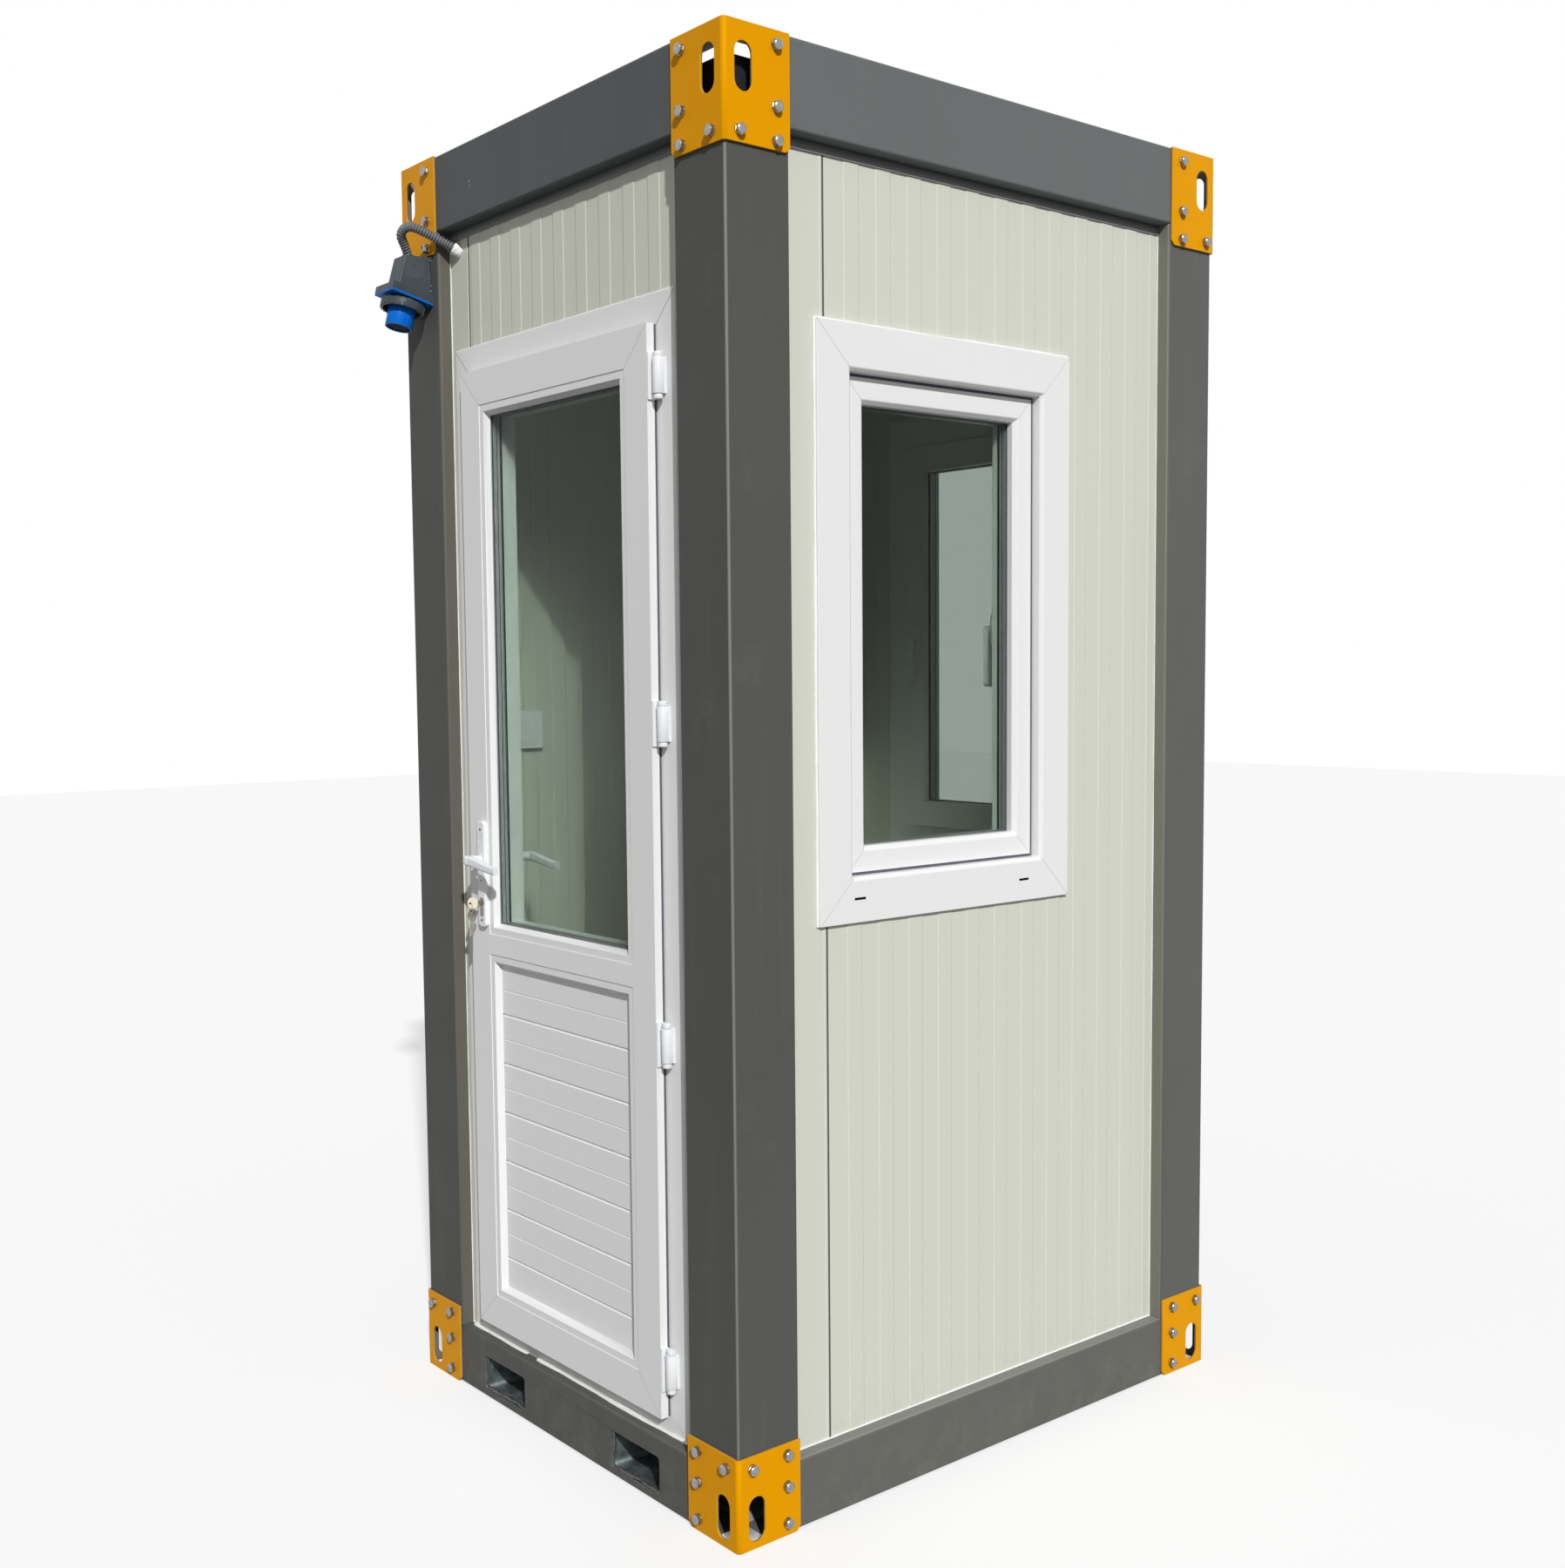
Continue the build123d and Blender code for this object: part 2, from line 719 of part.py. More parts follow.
def inlet_section(z, rear_width, front_width, depth):
    """Level section of the inlet housing, narrower at its rounded front."""
    front_left = (inlet_centre_x - front_width / 2, -frame_y - depth, z)
    front_right = (inlet_centre_x + front_width / 2, -frame_y - depth, z)
    face = outline([
        (inlet_centre_x - rear_width / 2, -frame_y, z),
        front_left,
        front_right,
        (inlet_centre_x + rear_width / 2, -frame_y, z),
    ])
    return bend(face, [front_left, front_right], inlet_round)


def inlet():
    """Hooded housing with a cable gland, seal, locking collar and shrouded contacts."""
    low = inlet_section(inlet_top_z - inlet_height, inlet_body_rear, inlet_body_front, inlet_body_depth)
    high = inlet_section(inlet_top_z, inlet_top_rear, inlet_top_front, inlet_top_depth)
    housing = loft([low, high])
    base, length = inlet_plane()
    housing += extrude(base * Rectangle(inlet_width, length), amount=-inlet_flange)
    housing += block(
        inlet_centre_x - inlet_width / 2,
        inlet_centre_x + inlet_width / 2,
        -frame_y - inlet_back,
        -frame_y,
        inlet_top_z - inlet_height,
        inlet_top_z,
    )
    housing += gland_place(inlet_top_z) * extrude(Circle(inlet_gland_radius), amount=inlet_gland_height)
    housing -= extrude(base * Rectangle(cabin_width, cabin_width), amount=inlet_height)
    housing -= block(-half_width, half_width, -frame_y, frame_y, 0, cabin_height)
    gasket = extrude(base * Rectangle(inlet_width, length), amount=inlet_gasket)
    seat = base.offset(inlet_gasket)
    ring_seat = seat.offset(collar_neck)
    collar = extrude(seat * Circle(collar_neck_radius), amount=collar_neck)
    collar += extrude(ring_seat * Circle(collar_radius), amount=collar_height)
    collar -= extrude(seat * Circle(shroud_radius + shroud_clearance), amount=collar_neck + collar_height)
    collar -= extrude(ring_seat.offset(collar_floor) * Circle(collar_bore), amount=collar_height)
    shroud = extrude(seat * Circle(shroud_radius), amount=shroud_length)
    shroud -= extrude(seat.offset(shroud_floor) * Circle(shroud_radius - shroud_wall), amount=shroud_length)
    contact = extrude(Circle(contact_radius), amount=contact_length)
    for spot in PolarLocations(contact_circle, contact_count):
        shroud += seat.offset(shroud_floor) * spot * contact
    return housing, gasket, collar, shroud


def gland_place(z):
    """A place on the gland's axis."""
    return Pos(inlet_centre_x + inlet_gland_shift, -frame_y - inlet_gland_depth, z)


def conduit():
    """Conduit from the gland on the inlet, over and back into the front wall."""
    start = gland_place(inlet_top_z + inlet_gland_height).position
    wall = Vector(conduit_wall_x, -wall_y, conduit_wall_z)
    corners = [start + Vector(*offset) for offset in conduit_offsets]
    below_gland = start + (start - corners[0]) * conduit_bend_share
    past_wall = wall + (wall - corners[-1]) * conduit_bend_share
    route = [below_gland] + corners + [past_wall]
    radii = []
    for before, point, after in zip(route, route[1:], route[2:]):
        turn = (point - before).get_angle(after - point)
        shorter = min((point - before).length, (after - point).length)
        radii.append(conduit_bend_share * shorter / math.tan(math.radians(turn / 2)))
    print("conduit bend radii", [round(radius, 1) for radius in radii])
    path = FilletPolyline(*route, radius=radii)
    section = Plane(below_gland, z_dir=path % 0) * Circle(conduit_radius)
    tube = sweep(section, path=path)
    tube -= block(-half_width, half_width, -wall_y, wall_y, 0, cabin_height)
    between_ends = (start.X + conduit_wall_x) / 2
    tube -= block(-half_width, between_ends, -cabin_depth, -half_depth, 0, start.Z)
    return tube


def light_switch():
    """Square switch with a rocker, on the room side of the left wall."""
    face = Plane((-inner_x, switch_y, switch_z), x_dir=(0, 1, 0), z_dir=(1, 0, 0))
    switch = extrude(face * RectangleRounded(switch_size, switch_size, switch_edge), amount=switch_depth)
    rim = switch.faces().sort_by(Axis.X)[-1].edges()
    switch = fillet(rim, switch_edge / 2)
    switch += extrude(face.offset(switch_depth) * Rectangle(rocker_size, rocker_size), amount=rocker_depth)
    return switch


def save(node, shape):
    """Writes one node."""
    export_step(shape, os.path.join("parts", node + ".step"))


os.makedirs("parts", exist_ok=True)

for corner_name, post in four_corners(corner_post()).items():
    save("post_" + corner_name, post)

top_bracket_low = cabin_height - top_bracket_height
top_slot_z = cabin_height - top_slot_drop
top_bracket = bracket(top_bracket_height, top_bracket_low, top_slot_z, top_bracket_low)
base_bracket = bracket(base_bracket_height, 0, base_slot_rise, 0)
save("top_brackets", Part() + list(four_corners(top_bracket).values()))
save("base_brackets", Part() + list(four_corners(base_bracket).values()))

top_front = front_beam(top_section())
top_side = side_beam(top_section())
save("top_beam_front", top_front)
save("top_beam_back", mirror(top_front, about=Plane.XZ))
save("top_beam_right", top_side)
save("top_beam_left", mirror(top_side, about=Plane.YZ))

base_front = front_beam(base_section()) - pocket_cut()
base_side = side_beam(base_section())
save("base_beam_front", base_front)
save("base_beam_back", mirror(base_front, about=Plane.XZ))
save("base_beam_right", base_side)
save("base_beam_left", mirror(base_side, about=Plane.YZ))

save("fork_pockets", fork_pocket(-1) + fork_pocket(1))
save("floor", block(-inner_x, inner_x, -inner_y, inner_y, floor_low, base_beam_height))
save("roof_panel", roof_panel())

side_window_place = Plane((wall_x, side_window_y, window_centre_z), x_dir=(0, 1, 0), z_dir=(1, 0, 0))
back_window_place = Plane((back_window_x, wall_y, window_centre_z), x_dir=(-1, 0, 0), z_dir=(0, 1, 0))
front_low = base_beam_height
save("front_wall_left", block(-wall_x, door_left, -wall_y, -inner_y, front_low, ceiling_height))
save("front_wall_right", block(door_right, wall_x, -wall_y, -inner_y, front_low, ceiling_height))
save("front_wall_top", block(door_left, door_right, -wall_y, -inner_y, door_frame_top, ceiling_height))
back_wall = block(-wall_x, wall_x, inner_y, wall_y, front_low, ceiling_height)
save("back_wall", back_wall - window_hole(back_window_place))
right_wall = block(inner_x, wall_x, -inner_y, inner_y, front_low, ceiling_height)
save("right_wall", right_wall - window_hole(side_window_place))
save("left_wall", block(-wall_x, -inner_x, -inner_y, inner_y, front_low, ceiling_height))

turn_handles = Part()
for window_name, place in (("side_window", side_window_place), ("back_window", back_window_place)):
    window_frame, sash, panes, turn_handle = window(place)
    turn_handles += turn_handle
    save(window_name + "_frame", window_frame)
    save(window_name + "_sash", sash)
    save(window_name + "_glass", panes)
save("window_handles", turn_handles)

for bar_name, bar in door_frame().items():
    save(bar_name, bar)

frame_hinges, leaf_hinges = hinges()
save("frame_hinges", frame_hinges)
save("leaf_hinges", leaf_hinges)
save("door_leaf", door_leaf())
save("door_glass", door_glass())
save("door_panel", door_panel())
save("handle_plates", handle_plate(leaf_face_y, -1) + handle_plate(leaf_back_y, 1))
outside_lever, inside_lever = levers()
save("outside_lever", outside_lever)
save("inside_lever", inside_lever)
save("lock_cylinder", lock_cylinder())

housing, gasket, collar, shroud = inlet()
save("inlet_housing", housing)
save("inlet_gasket", gasket)
save("inlet_collar", collar)
save("inlet_shroud", shroud)
save("conduit", conduit())
save("light_switch", light_switch())
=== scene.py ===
import bmesh
import bpy
import math
import random
from mathutils import Matrix, Vector


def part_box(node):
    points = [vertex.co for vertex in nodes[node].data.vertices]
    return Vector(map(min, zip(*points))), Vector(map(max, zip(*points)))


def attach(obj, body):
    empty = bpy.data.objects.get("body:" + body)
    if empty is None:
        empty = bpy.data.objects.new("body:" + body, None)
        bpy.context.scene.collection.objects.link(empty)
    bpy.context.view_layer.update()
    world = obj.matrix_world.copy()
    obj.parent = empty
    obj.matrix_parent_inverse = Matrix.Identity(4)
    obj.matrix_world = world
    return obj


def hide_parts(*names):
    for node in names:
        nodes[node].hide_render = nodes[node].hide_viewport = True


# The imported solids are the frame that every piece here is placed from. Lengths are in metres.
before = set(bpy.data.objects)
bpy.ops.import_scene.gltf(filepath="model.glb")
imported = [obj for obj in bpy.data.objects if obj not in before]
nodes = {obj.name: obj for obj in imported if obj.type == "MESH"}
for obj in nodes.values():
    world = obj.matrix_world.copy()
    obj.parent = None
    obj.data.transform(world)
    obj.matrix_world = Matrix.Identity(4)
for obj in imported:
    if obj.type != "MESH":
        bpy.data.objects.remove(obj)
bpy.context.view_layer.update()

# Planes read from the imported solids
half_width, half_depth, cabin_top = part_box("top_brackets")[1]
frame_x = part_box("base_beam_right")[1].x
frame_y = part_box("base_beam_back")[1].y
wall_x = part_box("right_wall")[1].x
wall_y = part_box("back_wall")[1].y
inner_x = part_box("right_wall")[0].x
inner_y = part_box("back_wall")[0].y
wall_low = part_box("right_wall")[0].z
wall_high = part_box("right_wall")[1].z
base_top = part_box("base_beam_right")[1].z
bay_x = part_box("post_front_right")[0].x
bay_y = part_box("post_back_right")[0].y
front_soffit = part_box("top_beam_front")[0].z
side_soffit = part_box("top_beam_right")[0].z
door_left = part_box("door_jamb_lock_side")[0].x
door_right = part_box("door_jamb_hinge_side")[1].x
door_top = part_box("door_head")[1].z
door_face_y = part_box("door_head")[0].y

# Camera of the photograph: position, angles in degrees, and pixels of the 1797 by 1800 image
camera_place = Vector((2.688, -2.368, 1.476))
camera_yaw = 51.34
camera_pitch = -4.33
camera_roll = -0.61
image_width = 1797
image_height = 1800
focal_pixels = 1969.7
axis_pixel_x = 836.9
axis_pixel_y = 919.6
sensor_mm = 36.0
sight_range = 200.0

# Light
sun_direction = Vector((-0.7335, 0.3866, -0.5590))
sun_strength = 3.07
sun_angle = 1.5
sky_strength = 0.32
floor_shade = 0.25
floor_seen = 0.45
floor_glow = 0.55
floor_fade = 0.05
floor_size = 40.0

# Panel profile: raised strips with short slopes between them
rib_width = 0.0366
rib_slope = 0.0022
rib_low = 0.0003
rib_high = 0.0013
# Dark strip over each sheet joint, painted shade of its groove: its width and lift
joint_width = 0.0042
joint_lift = 0.0002
joint_profile = (
    (-0.0085, rib_low),
    (-0.0070, rib_high),
    (-0.0034, rib_high),
    (-0.0028, rib_low),
)

# First strip, number of strips, pitch and first slope of each wall, outside and inside, and sheet joints
front_ribs = (-0.3130, 9, 0.0738, 0.0040)
front_joints = (-0.3205,)
side_ribs = (-0.3535, 12, 0.0750, 0.0022)
side_joints = (-0.400,)
inside_side_ribs = (-0.50, 13, 0.074, 0.0022)
inside_end_ribs = (-0.40, 11, 0.074, 0.0022)

# Flange bolts of the corner brackets, from the corner edge and from the bracket's free end
bolt_column = 0.108
bolt_inner = 0.0305
top_bolt_drops = (0.024, 0.121, 0.175)
top_inner_drop = 0.170
base_bolt_rises = (0.023, 0.088, 0.143)
base_inner_rise = 0.140
bolt_flange = 0.0095
bolt_rim = 0.0012
bolt_cone = 0.0022
bolt_head = 0.0092
bolt_height = 0.0108
bolt_chamfer = 0.0022
bolt_hollow = 0.0006
bolt_crown_share = 1.5

# Painted shadow of the top beams: strips under them
beam_shadow_height = 0.018
beam_shadow_depth = 0.004

# Sealant beads: how far they stand off the wall, how they wander, and the radius of each run
bead_off = 0.0015
bead_step = 0.02
bead_wander_share = 0.25
window_wander_share = 0.3
sill_wander_share = 0.5
sway_shares = (0.8, 0.3)
swell_shares = (0.75, 0.5)
drift_shares = (1.0, 1.0, 0.7)
thinnest_share = 0.4
foot_bead = 0.0020
post_bead = 0.0011
window_beads = (0.0012, 0.0016, 0.0040, 0.0034)
door_side_bead = 0.0018
door_top_bead = 0.0019
sill_bead = 0.0044
sill_break_shares = (0.30, 0.325)

# Plastic profiles, as in the model of the solids
window_face = 0.080
window_light = 0.130
sash_hidden = 0.016
sash_face = 0.053
sash_gap = 0.005
sash_seal_drop = 0.0015
door_face = 0.066
sill_face = 0.046
leaf_face = 0.068
leaf_light = 0.090
glass_low = 0.982
flange_thickness = 0.0155
mitre_width = 0.0009
mitre_lift = 0.0002

# Glazing: tint of one pane, panes, spacer bar and gaskets
glass_tint = (222, 226, 223)
pane = 0.004
spacer_inset = 0.006
spacer_width = 0.0078
butyl = 0.0013
pinhole_line = 0.0007
gasket_hidden = 0.002
gasket_width = 0.0031
gasket_depth = 0.0012

# Seal behind the leaf's edge
seal_inset = 0.0012
seal_width = 0.005
seal_clearance = 0.0003

# Weld beads at the mouths of the fork pockets
pocket_spacing = 0.449
pocket_width = 0.152
pocket_rise = 0.014
pocket_height = 0.071
weld_inset = 0.002
weld_depth = 0.006
weld_bead = 0.0030
weld_step = 0.006
weld_wander_share = 0.9

# Drainage slots of the side window, as (across, up) centres
slot_places = ((-0.329, 1.0771), (0.096, 1.0754))
slot_length = 0.026
slot_height = 0.0042
slot_depth = 0.0004

# Lock, key and handle plate screws
lock_z = 1.023
screw_levels = (1.168, 1.067, 0.987)
screw_radius = 0.0036
screw_dome = 0.0007
screw_shares = (0.8, 0.4)
cross_length = 0.0048
cross_width = 0.0011
key_bow_radius = 0.0115
key_bow_half = 0.0016
key_bow_y = -0.657
key_rim = 0.0006
key_hole_radius = 0.0022
key_hole_shift = 0.0068
key_stem_width = 0.0024
key_stem_height = 0.0075
ring_radius = 0.0085
ring_wire = 0.0006
spare_bow_z = 1.0005
spare_bow_y = -0.660
spare_blade_low = 0.957
spare_blade_width = 0.0080
spare_blade_thickness = 0.0020

# Power inlet: middle of its sloped underside, the way that faces, and its fittings
inlet_base = Vector((-0.450, -0.6775, 2.227))
inlet_axis = Vector((0.0, -0.22, -0.90)).normalized()
collar_low = 0.010
collar_high = 0.027
collar_radius = 0.043
grip_count = 26
grip_width = 0.0032
grip_height = 0.0009
shroud_bore = 0.024
shroud_floor = 0.040
shroud_end = 0.061
shroud_radius = 0.027
shroud_gap = 0.0003
shroud_shade_end = 0.0590
contact_circle = 0.011
contact_radius = 0.0032
contact_end = 0.0542
contact_count = 3
contact_tip_share = 0.7
guide_rib = 0.0042
guide_low = 0.046
inlet_screws = ((-0.4135, 2.3005), (-0.4135, 2.2500), (-0.4135, 2.2400))
inlet_plate_y = -0.6365
inlet_screw_radius = 0.0030
inlet_screw_shares = (0.6, 0.7)
mould_centre = (-0.415, -0.668, 2.288)
mould_pitch = 0.0032
mould_rings = (0.008, 0.024)

# Conduit route, as in the model of the solids
conduit_diameter = 0.019
conduit_route = (
    (-0.448, -0.667, 2.312),
    (-0.443, -0.677, 2.330),
    (-0.432, -0.694, 2.348),
    (-0.410, -0.688, 2.362),
    (-0.393, -0.667, 2.351),
    (-0.3745, -0.6345, 2.3325),
    (-0.357, -0.603, 2.313),
)
conduit_pitch = 0.0056
conduit_valley_share = 0.70
conduit_crest_share = 1.4
conduit_steps = 8
lump_rings = 4
lump_start = -0.004
lump_step = 0.0045
lump_points = 6
lump_bead = 0.0040
lump_spread_shares = (0.92, 1.08)
lump_bead_shares = (0.75, 1.15)

# Marks in the paint and on the wall, the band of wear and painted highlight on the post corners, and the
# depth of the post returns, whose tone is partly painted bounce light
beam_chips = ((-0.2628, -0.6325, 2.4228), (-0.2615, -0.6325, 2.4128))
chip_radius = 0.0032
paint_edge = 0.0024
worn_and_highlit_edge = 0.0022
lip_depth = 0.0015
panel_scratch = (0.516, -0.122, 0.950)
scratch_radius = 0.024

# Relief and dirt of the surfaces
fine_relief = 0.00005
seam_relief = 0.00004
metal_relief = 0.00008
paint_relief = 0.0001
floor_relief = 0.0002
sealant_relief = 0.0004
dust_height = 0.16
foot_dirt_levels = (0.12, 0.22)
mark_core_share = 0.4
mark_edge_share = 0.04
noise_band_shares = (0.3, 0.7)

# Softened edges of the solids
plate_edge = 0.0004
tube_edge = 0.0005
small_edge = 0.0006
knuckle_edge = 0.0008
board_edge = 0.001
collar_edge = 0.0012
jamb_edge = 0.0014
sash_edge = 0.0016
round_edge = 0.002
bevel_angle = 40.0

# Angles in degrees above which an edge is shaded sharp, and distances that count as none
sharp_angle = 35.0
ripple_angle = 60.0
soft_angle = 80.0
solid_merge_distance = 0.00001
tiny = 0.000001
piece_merge_distance = 0.0000001
rounding = 0.000000000001

random_source = random.Random(7)


def side(origin, across, out):
    """A function from (across, up, out) on one face of the cabin to a point."""
    start = Vector(origin)
    along = Vector(across)
    outward = Vector(out)

    def place(a, up, o=0.0):
        return start + along * a + Vector((0, 0, up)) + outward * o

    return place


def sides(x, y, facing=1):
    """The front, back, right and left faces at given distances, facing out or, with -1, inwards."""
    return (
        side((0, -y, 0), (facing, 0, 0), (0, -facing, 0)),
        side((0, y, 0), (-facing, 0, 0), (0, facing, 0)),
        side((x, 0, 0), (0, facing, 0), (facing, 0, 0)),
        side((-x, 0, 0), (0, -facing, 0), (-facing, 0, 0)),
    )


front, back, right, left = sides(wall_x, wall_y)
front_inside, back_inside, right_inside, left_inside = sides(inner_x, inner_y, -1)
bracket_faces = sides(half_width, half_depth)
bracket_half_spans = (half_width, half_width, half_depth, half_depth)


def spans(name, place):
    """A node's box as its spans across, up and out on the front, right or back of the cabin."""
    low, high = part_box(name)
    if place is right:
        return (low.y, high.y), (low.z, high.z), (low.x - wall_x, high.x - wall_x)
    if place is back:
        return (-high.x, -low.x), (low.z, high.z), (low.y - wall_y, high.y - wall_y)
    return (low.x, high.x), (low.z, high.z), (-wall_y - high.y, -wall_y - low.y)


def inset(span, amount):
    """A span drawn in at both ends."""
    return span[0] + amount, span[1] - amount


def mirrored(span):
    """A span seen from the other side of the wall."""
    return -span[1], -span[0]


def about(middle, width):
    """A span of a given width round its middle."""
    return middle - width / 2, middle + width / 2


def of_windows(part):
    """One part of the side and back windows, as the wall it stands on and its spans there."""
    walls = (("side", right), ("back", back))
    return [(place, spans(f"{name}_window_{part}", place)) for name, place in walls]


side_frame = spans("side_window_frame", right)
back_frame = spans("back_window_frame", back)
leaf = spans("door_leaf", front)
door_out = -door_face_y - wall_y


def linear(red, green, blue):
    """A display colour from 0 to 255 as a linear colour."""
    values = []
    for value in (red, green, blue):
        share = value / 255
        values.append(share / 12.92 if share <= 0.04045 else ((share + 0.055) / 1.055) ** 2.4)
    return (*values, 1.0)


def feed(tree, value, socket):
    """Links a socket to an input, or sets the input's plain value."""
    if isinstance(value, bpy.types.NodeSocket):
        tree.links.new(value, socket)
    else:
        socket.default_value = value


def combine(tree, operation, first, second):
    """Arithmetic on two values in a node tree."""
    node = tree.nodes.new("ShaderNodeMath")
    node.operation = operation
    feed(tree, first, node.inputs[0])
    feed(tree, second, node.inputs[1])
    return node.outputs["Value"]


class Look:
    """A procedural material, built up from textures in object coordinates."""

    def __init__(self, name, **values):
        self.material = bpy.data.materials.new(name)
        self.material.use_nodes = True
        self.tree = self.material.node_tree
        self.shader = self.tree.nodes["Principled BSDF"]
        self.coordinates = self.tree.nodes.new("ShaderNodeTexCoord").outputs["Object"]
        for label, value in values.items():
            self.put(label.replace("_", " ").title().replace("Ior", "IOR"), value)

    def put(self, label, value):
        """Sets or links one input of the shader."""
        feed(self.tree, value, self.shader.inputs[label])

    def node(self, kind, **values):
        """A new node with some of its inputs filled."""
        node = self.tree.nodes.new(kind)
        for label, value in values.items():
            feed(self.tree, value, node.inputs[label.replace("_", " ").title()])
        return node

    def noise(self, scale, detail=3.0, roughness=0.55, stretch=(1, 1, 1)):
        """Soft noise from 0 to 1."""
        place = self.node("ShaderNodeMapping", vector=self.coordinates, scale=stretch).outputs["Vector"]
        grain = dict(scale=scale, detail=detail, roughness=roughness)
        return self.node("ShaderNodeTexNoise", vector=place, **grain).outputs["Fac"]

    def axis(self, name, source=None):
        """One part of the object coordinates, or of another vector."""
        return self.node("ShaderNodeSeparateXYZ", vector=source or self.coordinates).outputs[name]

    def span(self, value, low, high, start=0.0, end=1.0):
        """Maps low..high to start..end, clamped."""
        ends = dict(from_min=low, from_max=high, to_min=start, to_max=end)
        return self.node("ShaderNodeMapRange", value=value, **ends).outputs["Result"]

    def sum(self, operation, first, second=0.0):
        """Arithmetic on two values."""
        return combine(self.tree, operation, first, second)

    def past(self, axis, reach):
        """How far a point lies past a reach from the middle, along one axis."""
        return self.sum("SUBTRACT", self.sum("ABSOLUTE", self.axis(axis)), reach)

    def distance(self, centre):
        """Distance from a point."""
        node = self.tree.nodes.new("ShaderNodeVectorMath")
        node.operation = "DISTANCE"
        feed(self.tree, self.coordinates, node.inputs[0])
        node.inputs[1].default_value = centre
        return node.outputs["Value"]

    def mark(self, centre, radius, noise_value, threshold):
        """1 in a ragged mark round a point."""
        near = self.span(self.distance(centre), radius, radius * mark_core_share)
        return self.sum("MULTIPLY", near, self.span(noise_value, threshold, threshold + mark_edge_share))

    def strong(self, noise, low, high, share=1.0):
        """Mask of the places where noise runs high."""
        return self.span(self.noise(*noise), low, high, 0.0, share)

    def mix(self, factor, first, second):
        """Blends two colours."""
        node = self.tree.nodes.new("ShaderNodeMix")
        node.data_type = "RGBA"
        for value, number in ((factor, 0), (first, 6), (second, 7)):
            feed(self.tree, value, node.inputs[number])
        return node.outputs[2]

    def clouds(self, noise, dark, light):
        """Clouded colour between two display colours."""
        return self.mix(self.noise(*noise), linear(*dark), linear(*light))

    def stain(self, colour, mask, tone):
        """Lays a display colour over another where a mask says."""
        return self.mix(mask, colour, linear(*tone))

    def finish(self, colour, gloss, relief):
        """Sets colour, roughness and fine relief, and gives the material."""
        self.put("Base Color", colour)
        gloss_noise, smooth, rough = gloss
        self.put("Roughness", self.span(self.noise(*gloss_noise), *noise_band_shares, smooth, rough))
        height, depth, strength = relief
        if isinstance(height, tuple):
            height = self.noise(*height)
        bump = self.node("ShaderNodeBump", height=height, distance=depth, strength=strength)
        self.put("Normal", bump.outputs["Normal"])
        return self.material


def coat(name, noise, dark, light, stains, gloss, relief, **values):
    """A clouded coating with stains of other colours on it."""
    look = Look(name, **values)
    colour = look.clouds(noise, dark, light)
    for stain_noise, low, high, share, tone in stains:
        colour = look.stain(colour, look.strong(stain_noise, low, high, share), tone)
    return look.finish(colour, gloss, relief)


def frame_paint(name, dark, light, chips=(), lip_share=0.0, top_share=0.0):
    """Grey satin paint with faint dust, scuffs, dusty ledges, and a few chips at given places, worn outer
    corners with a painted highlight, and tones on the post returns that are partly painted bounce light.
    """
    look = Look(name, specular_ior_level=0.06)
    colour = look.clouds((1.7, 3.0), dark, light)
    streak = look.strong((1.0, 5.0, 0.6, (24, 24, 1.4)), 0.55, 0.80, 0.16)
    colour = look.stain(colour, streak, (118, 117, 112))
    colour = look.stain(colour, look.strong((6.0, 6.0, 0.65), 0.62, 0.76, 0.13), (132, 131, 127))
    low_dust = look.span(look.axis("Z"), 0.0, dust_height, 0.30, 0.0)
    dust = look.sum("MULTIPLY", low_dust, look.strong((22.0, 5.0, 0.7), 0.45, 0.75))
    colour = look.stain(colour, dust, (140, 137, 128))
    fleck = look.noise(260.0, 2.0)
    speck = look.sum("MULTIPLY", look.span(fleck, 0.80, 0.84), look.strong((3.1, 3.0), 0.60, 0.66))
    colour = look.stain(colour, speck, (176, 176, 170))
    for centre in chips:
        colour = look.stain(colour, look.mark(centre, chip_radius, fleck, 0.47), (226, 226, 220))
    # Outer corners of the posts lighter: wear, and a painted highlight where the rounded bend catches the
    # light
    corner = look.sum("MINIMUM", look.past("X", frame_x - worn_and_highlit_edge), look.past("Y", frame_y - worn_and_highlit_edge))
    colour = look.stain(colour, look.span(corner, -worn_and_highlit_edge, 0.0, 0.0, 0.55), (150, 150, 147))
    # Tones on the post returns: a brownish one on the returns facing the sides, and on the returns facing
    # front and back a pale greenish one, painted bounce light from the pale walls beside them
    for axis, bay, tone in (("X", bay_x, (106, 102, 94)), ("Y", bay_y, (132, 132, 120))):
        lip = look.sum("LESS_THAN", look.past(axis, bay + lip_depth), 0.0)
        colour = look.stain(colour, look.sum("MULTIPLY", lip, lip_share), tone)
    ledge = look.sum("GREATER_THAN", look.axis("Z"), base_top - lip_depth)
    colour = look.stain(colour, look.sum("MULTIPLY", ledge, top_share), (140, 139, 137))
    return look.finish(colour, ((9.0, 4.0), 0.42, 0.56), ((420.0, 2.0), paint_relief, 0.4))


def painted_beam_shadow_look():
    """Painted shadow of the top beams on the walls: a grey strip under them, darker towards the beam."""
    look = Look("painted_beam_shadow", specular_ior_level=0.06)
    rise = look.span(look.axis("Z"), front_soffit - beam_shadow_height, front_soffit)
    look.put("Base Color", look.mix(rise, linear(148, 149, 148), linear(72, 75, 78)))
    look.put("Roughness", 0.6)
    return look.material


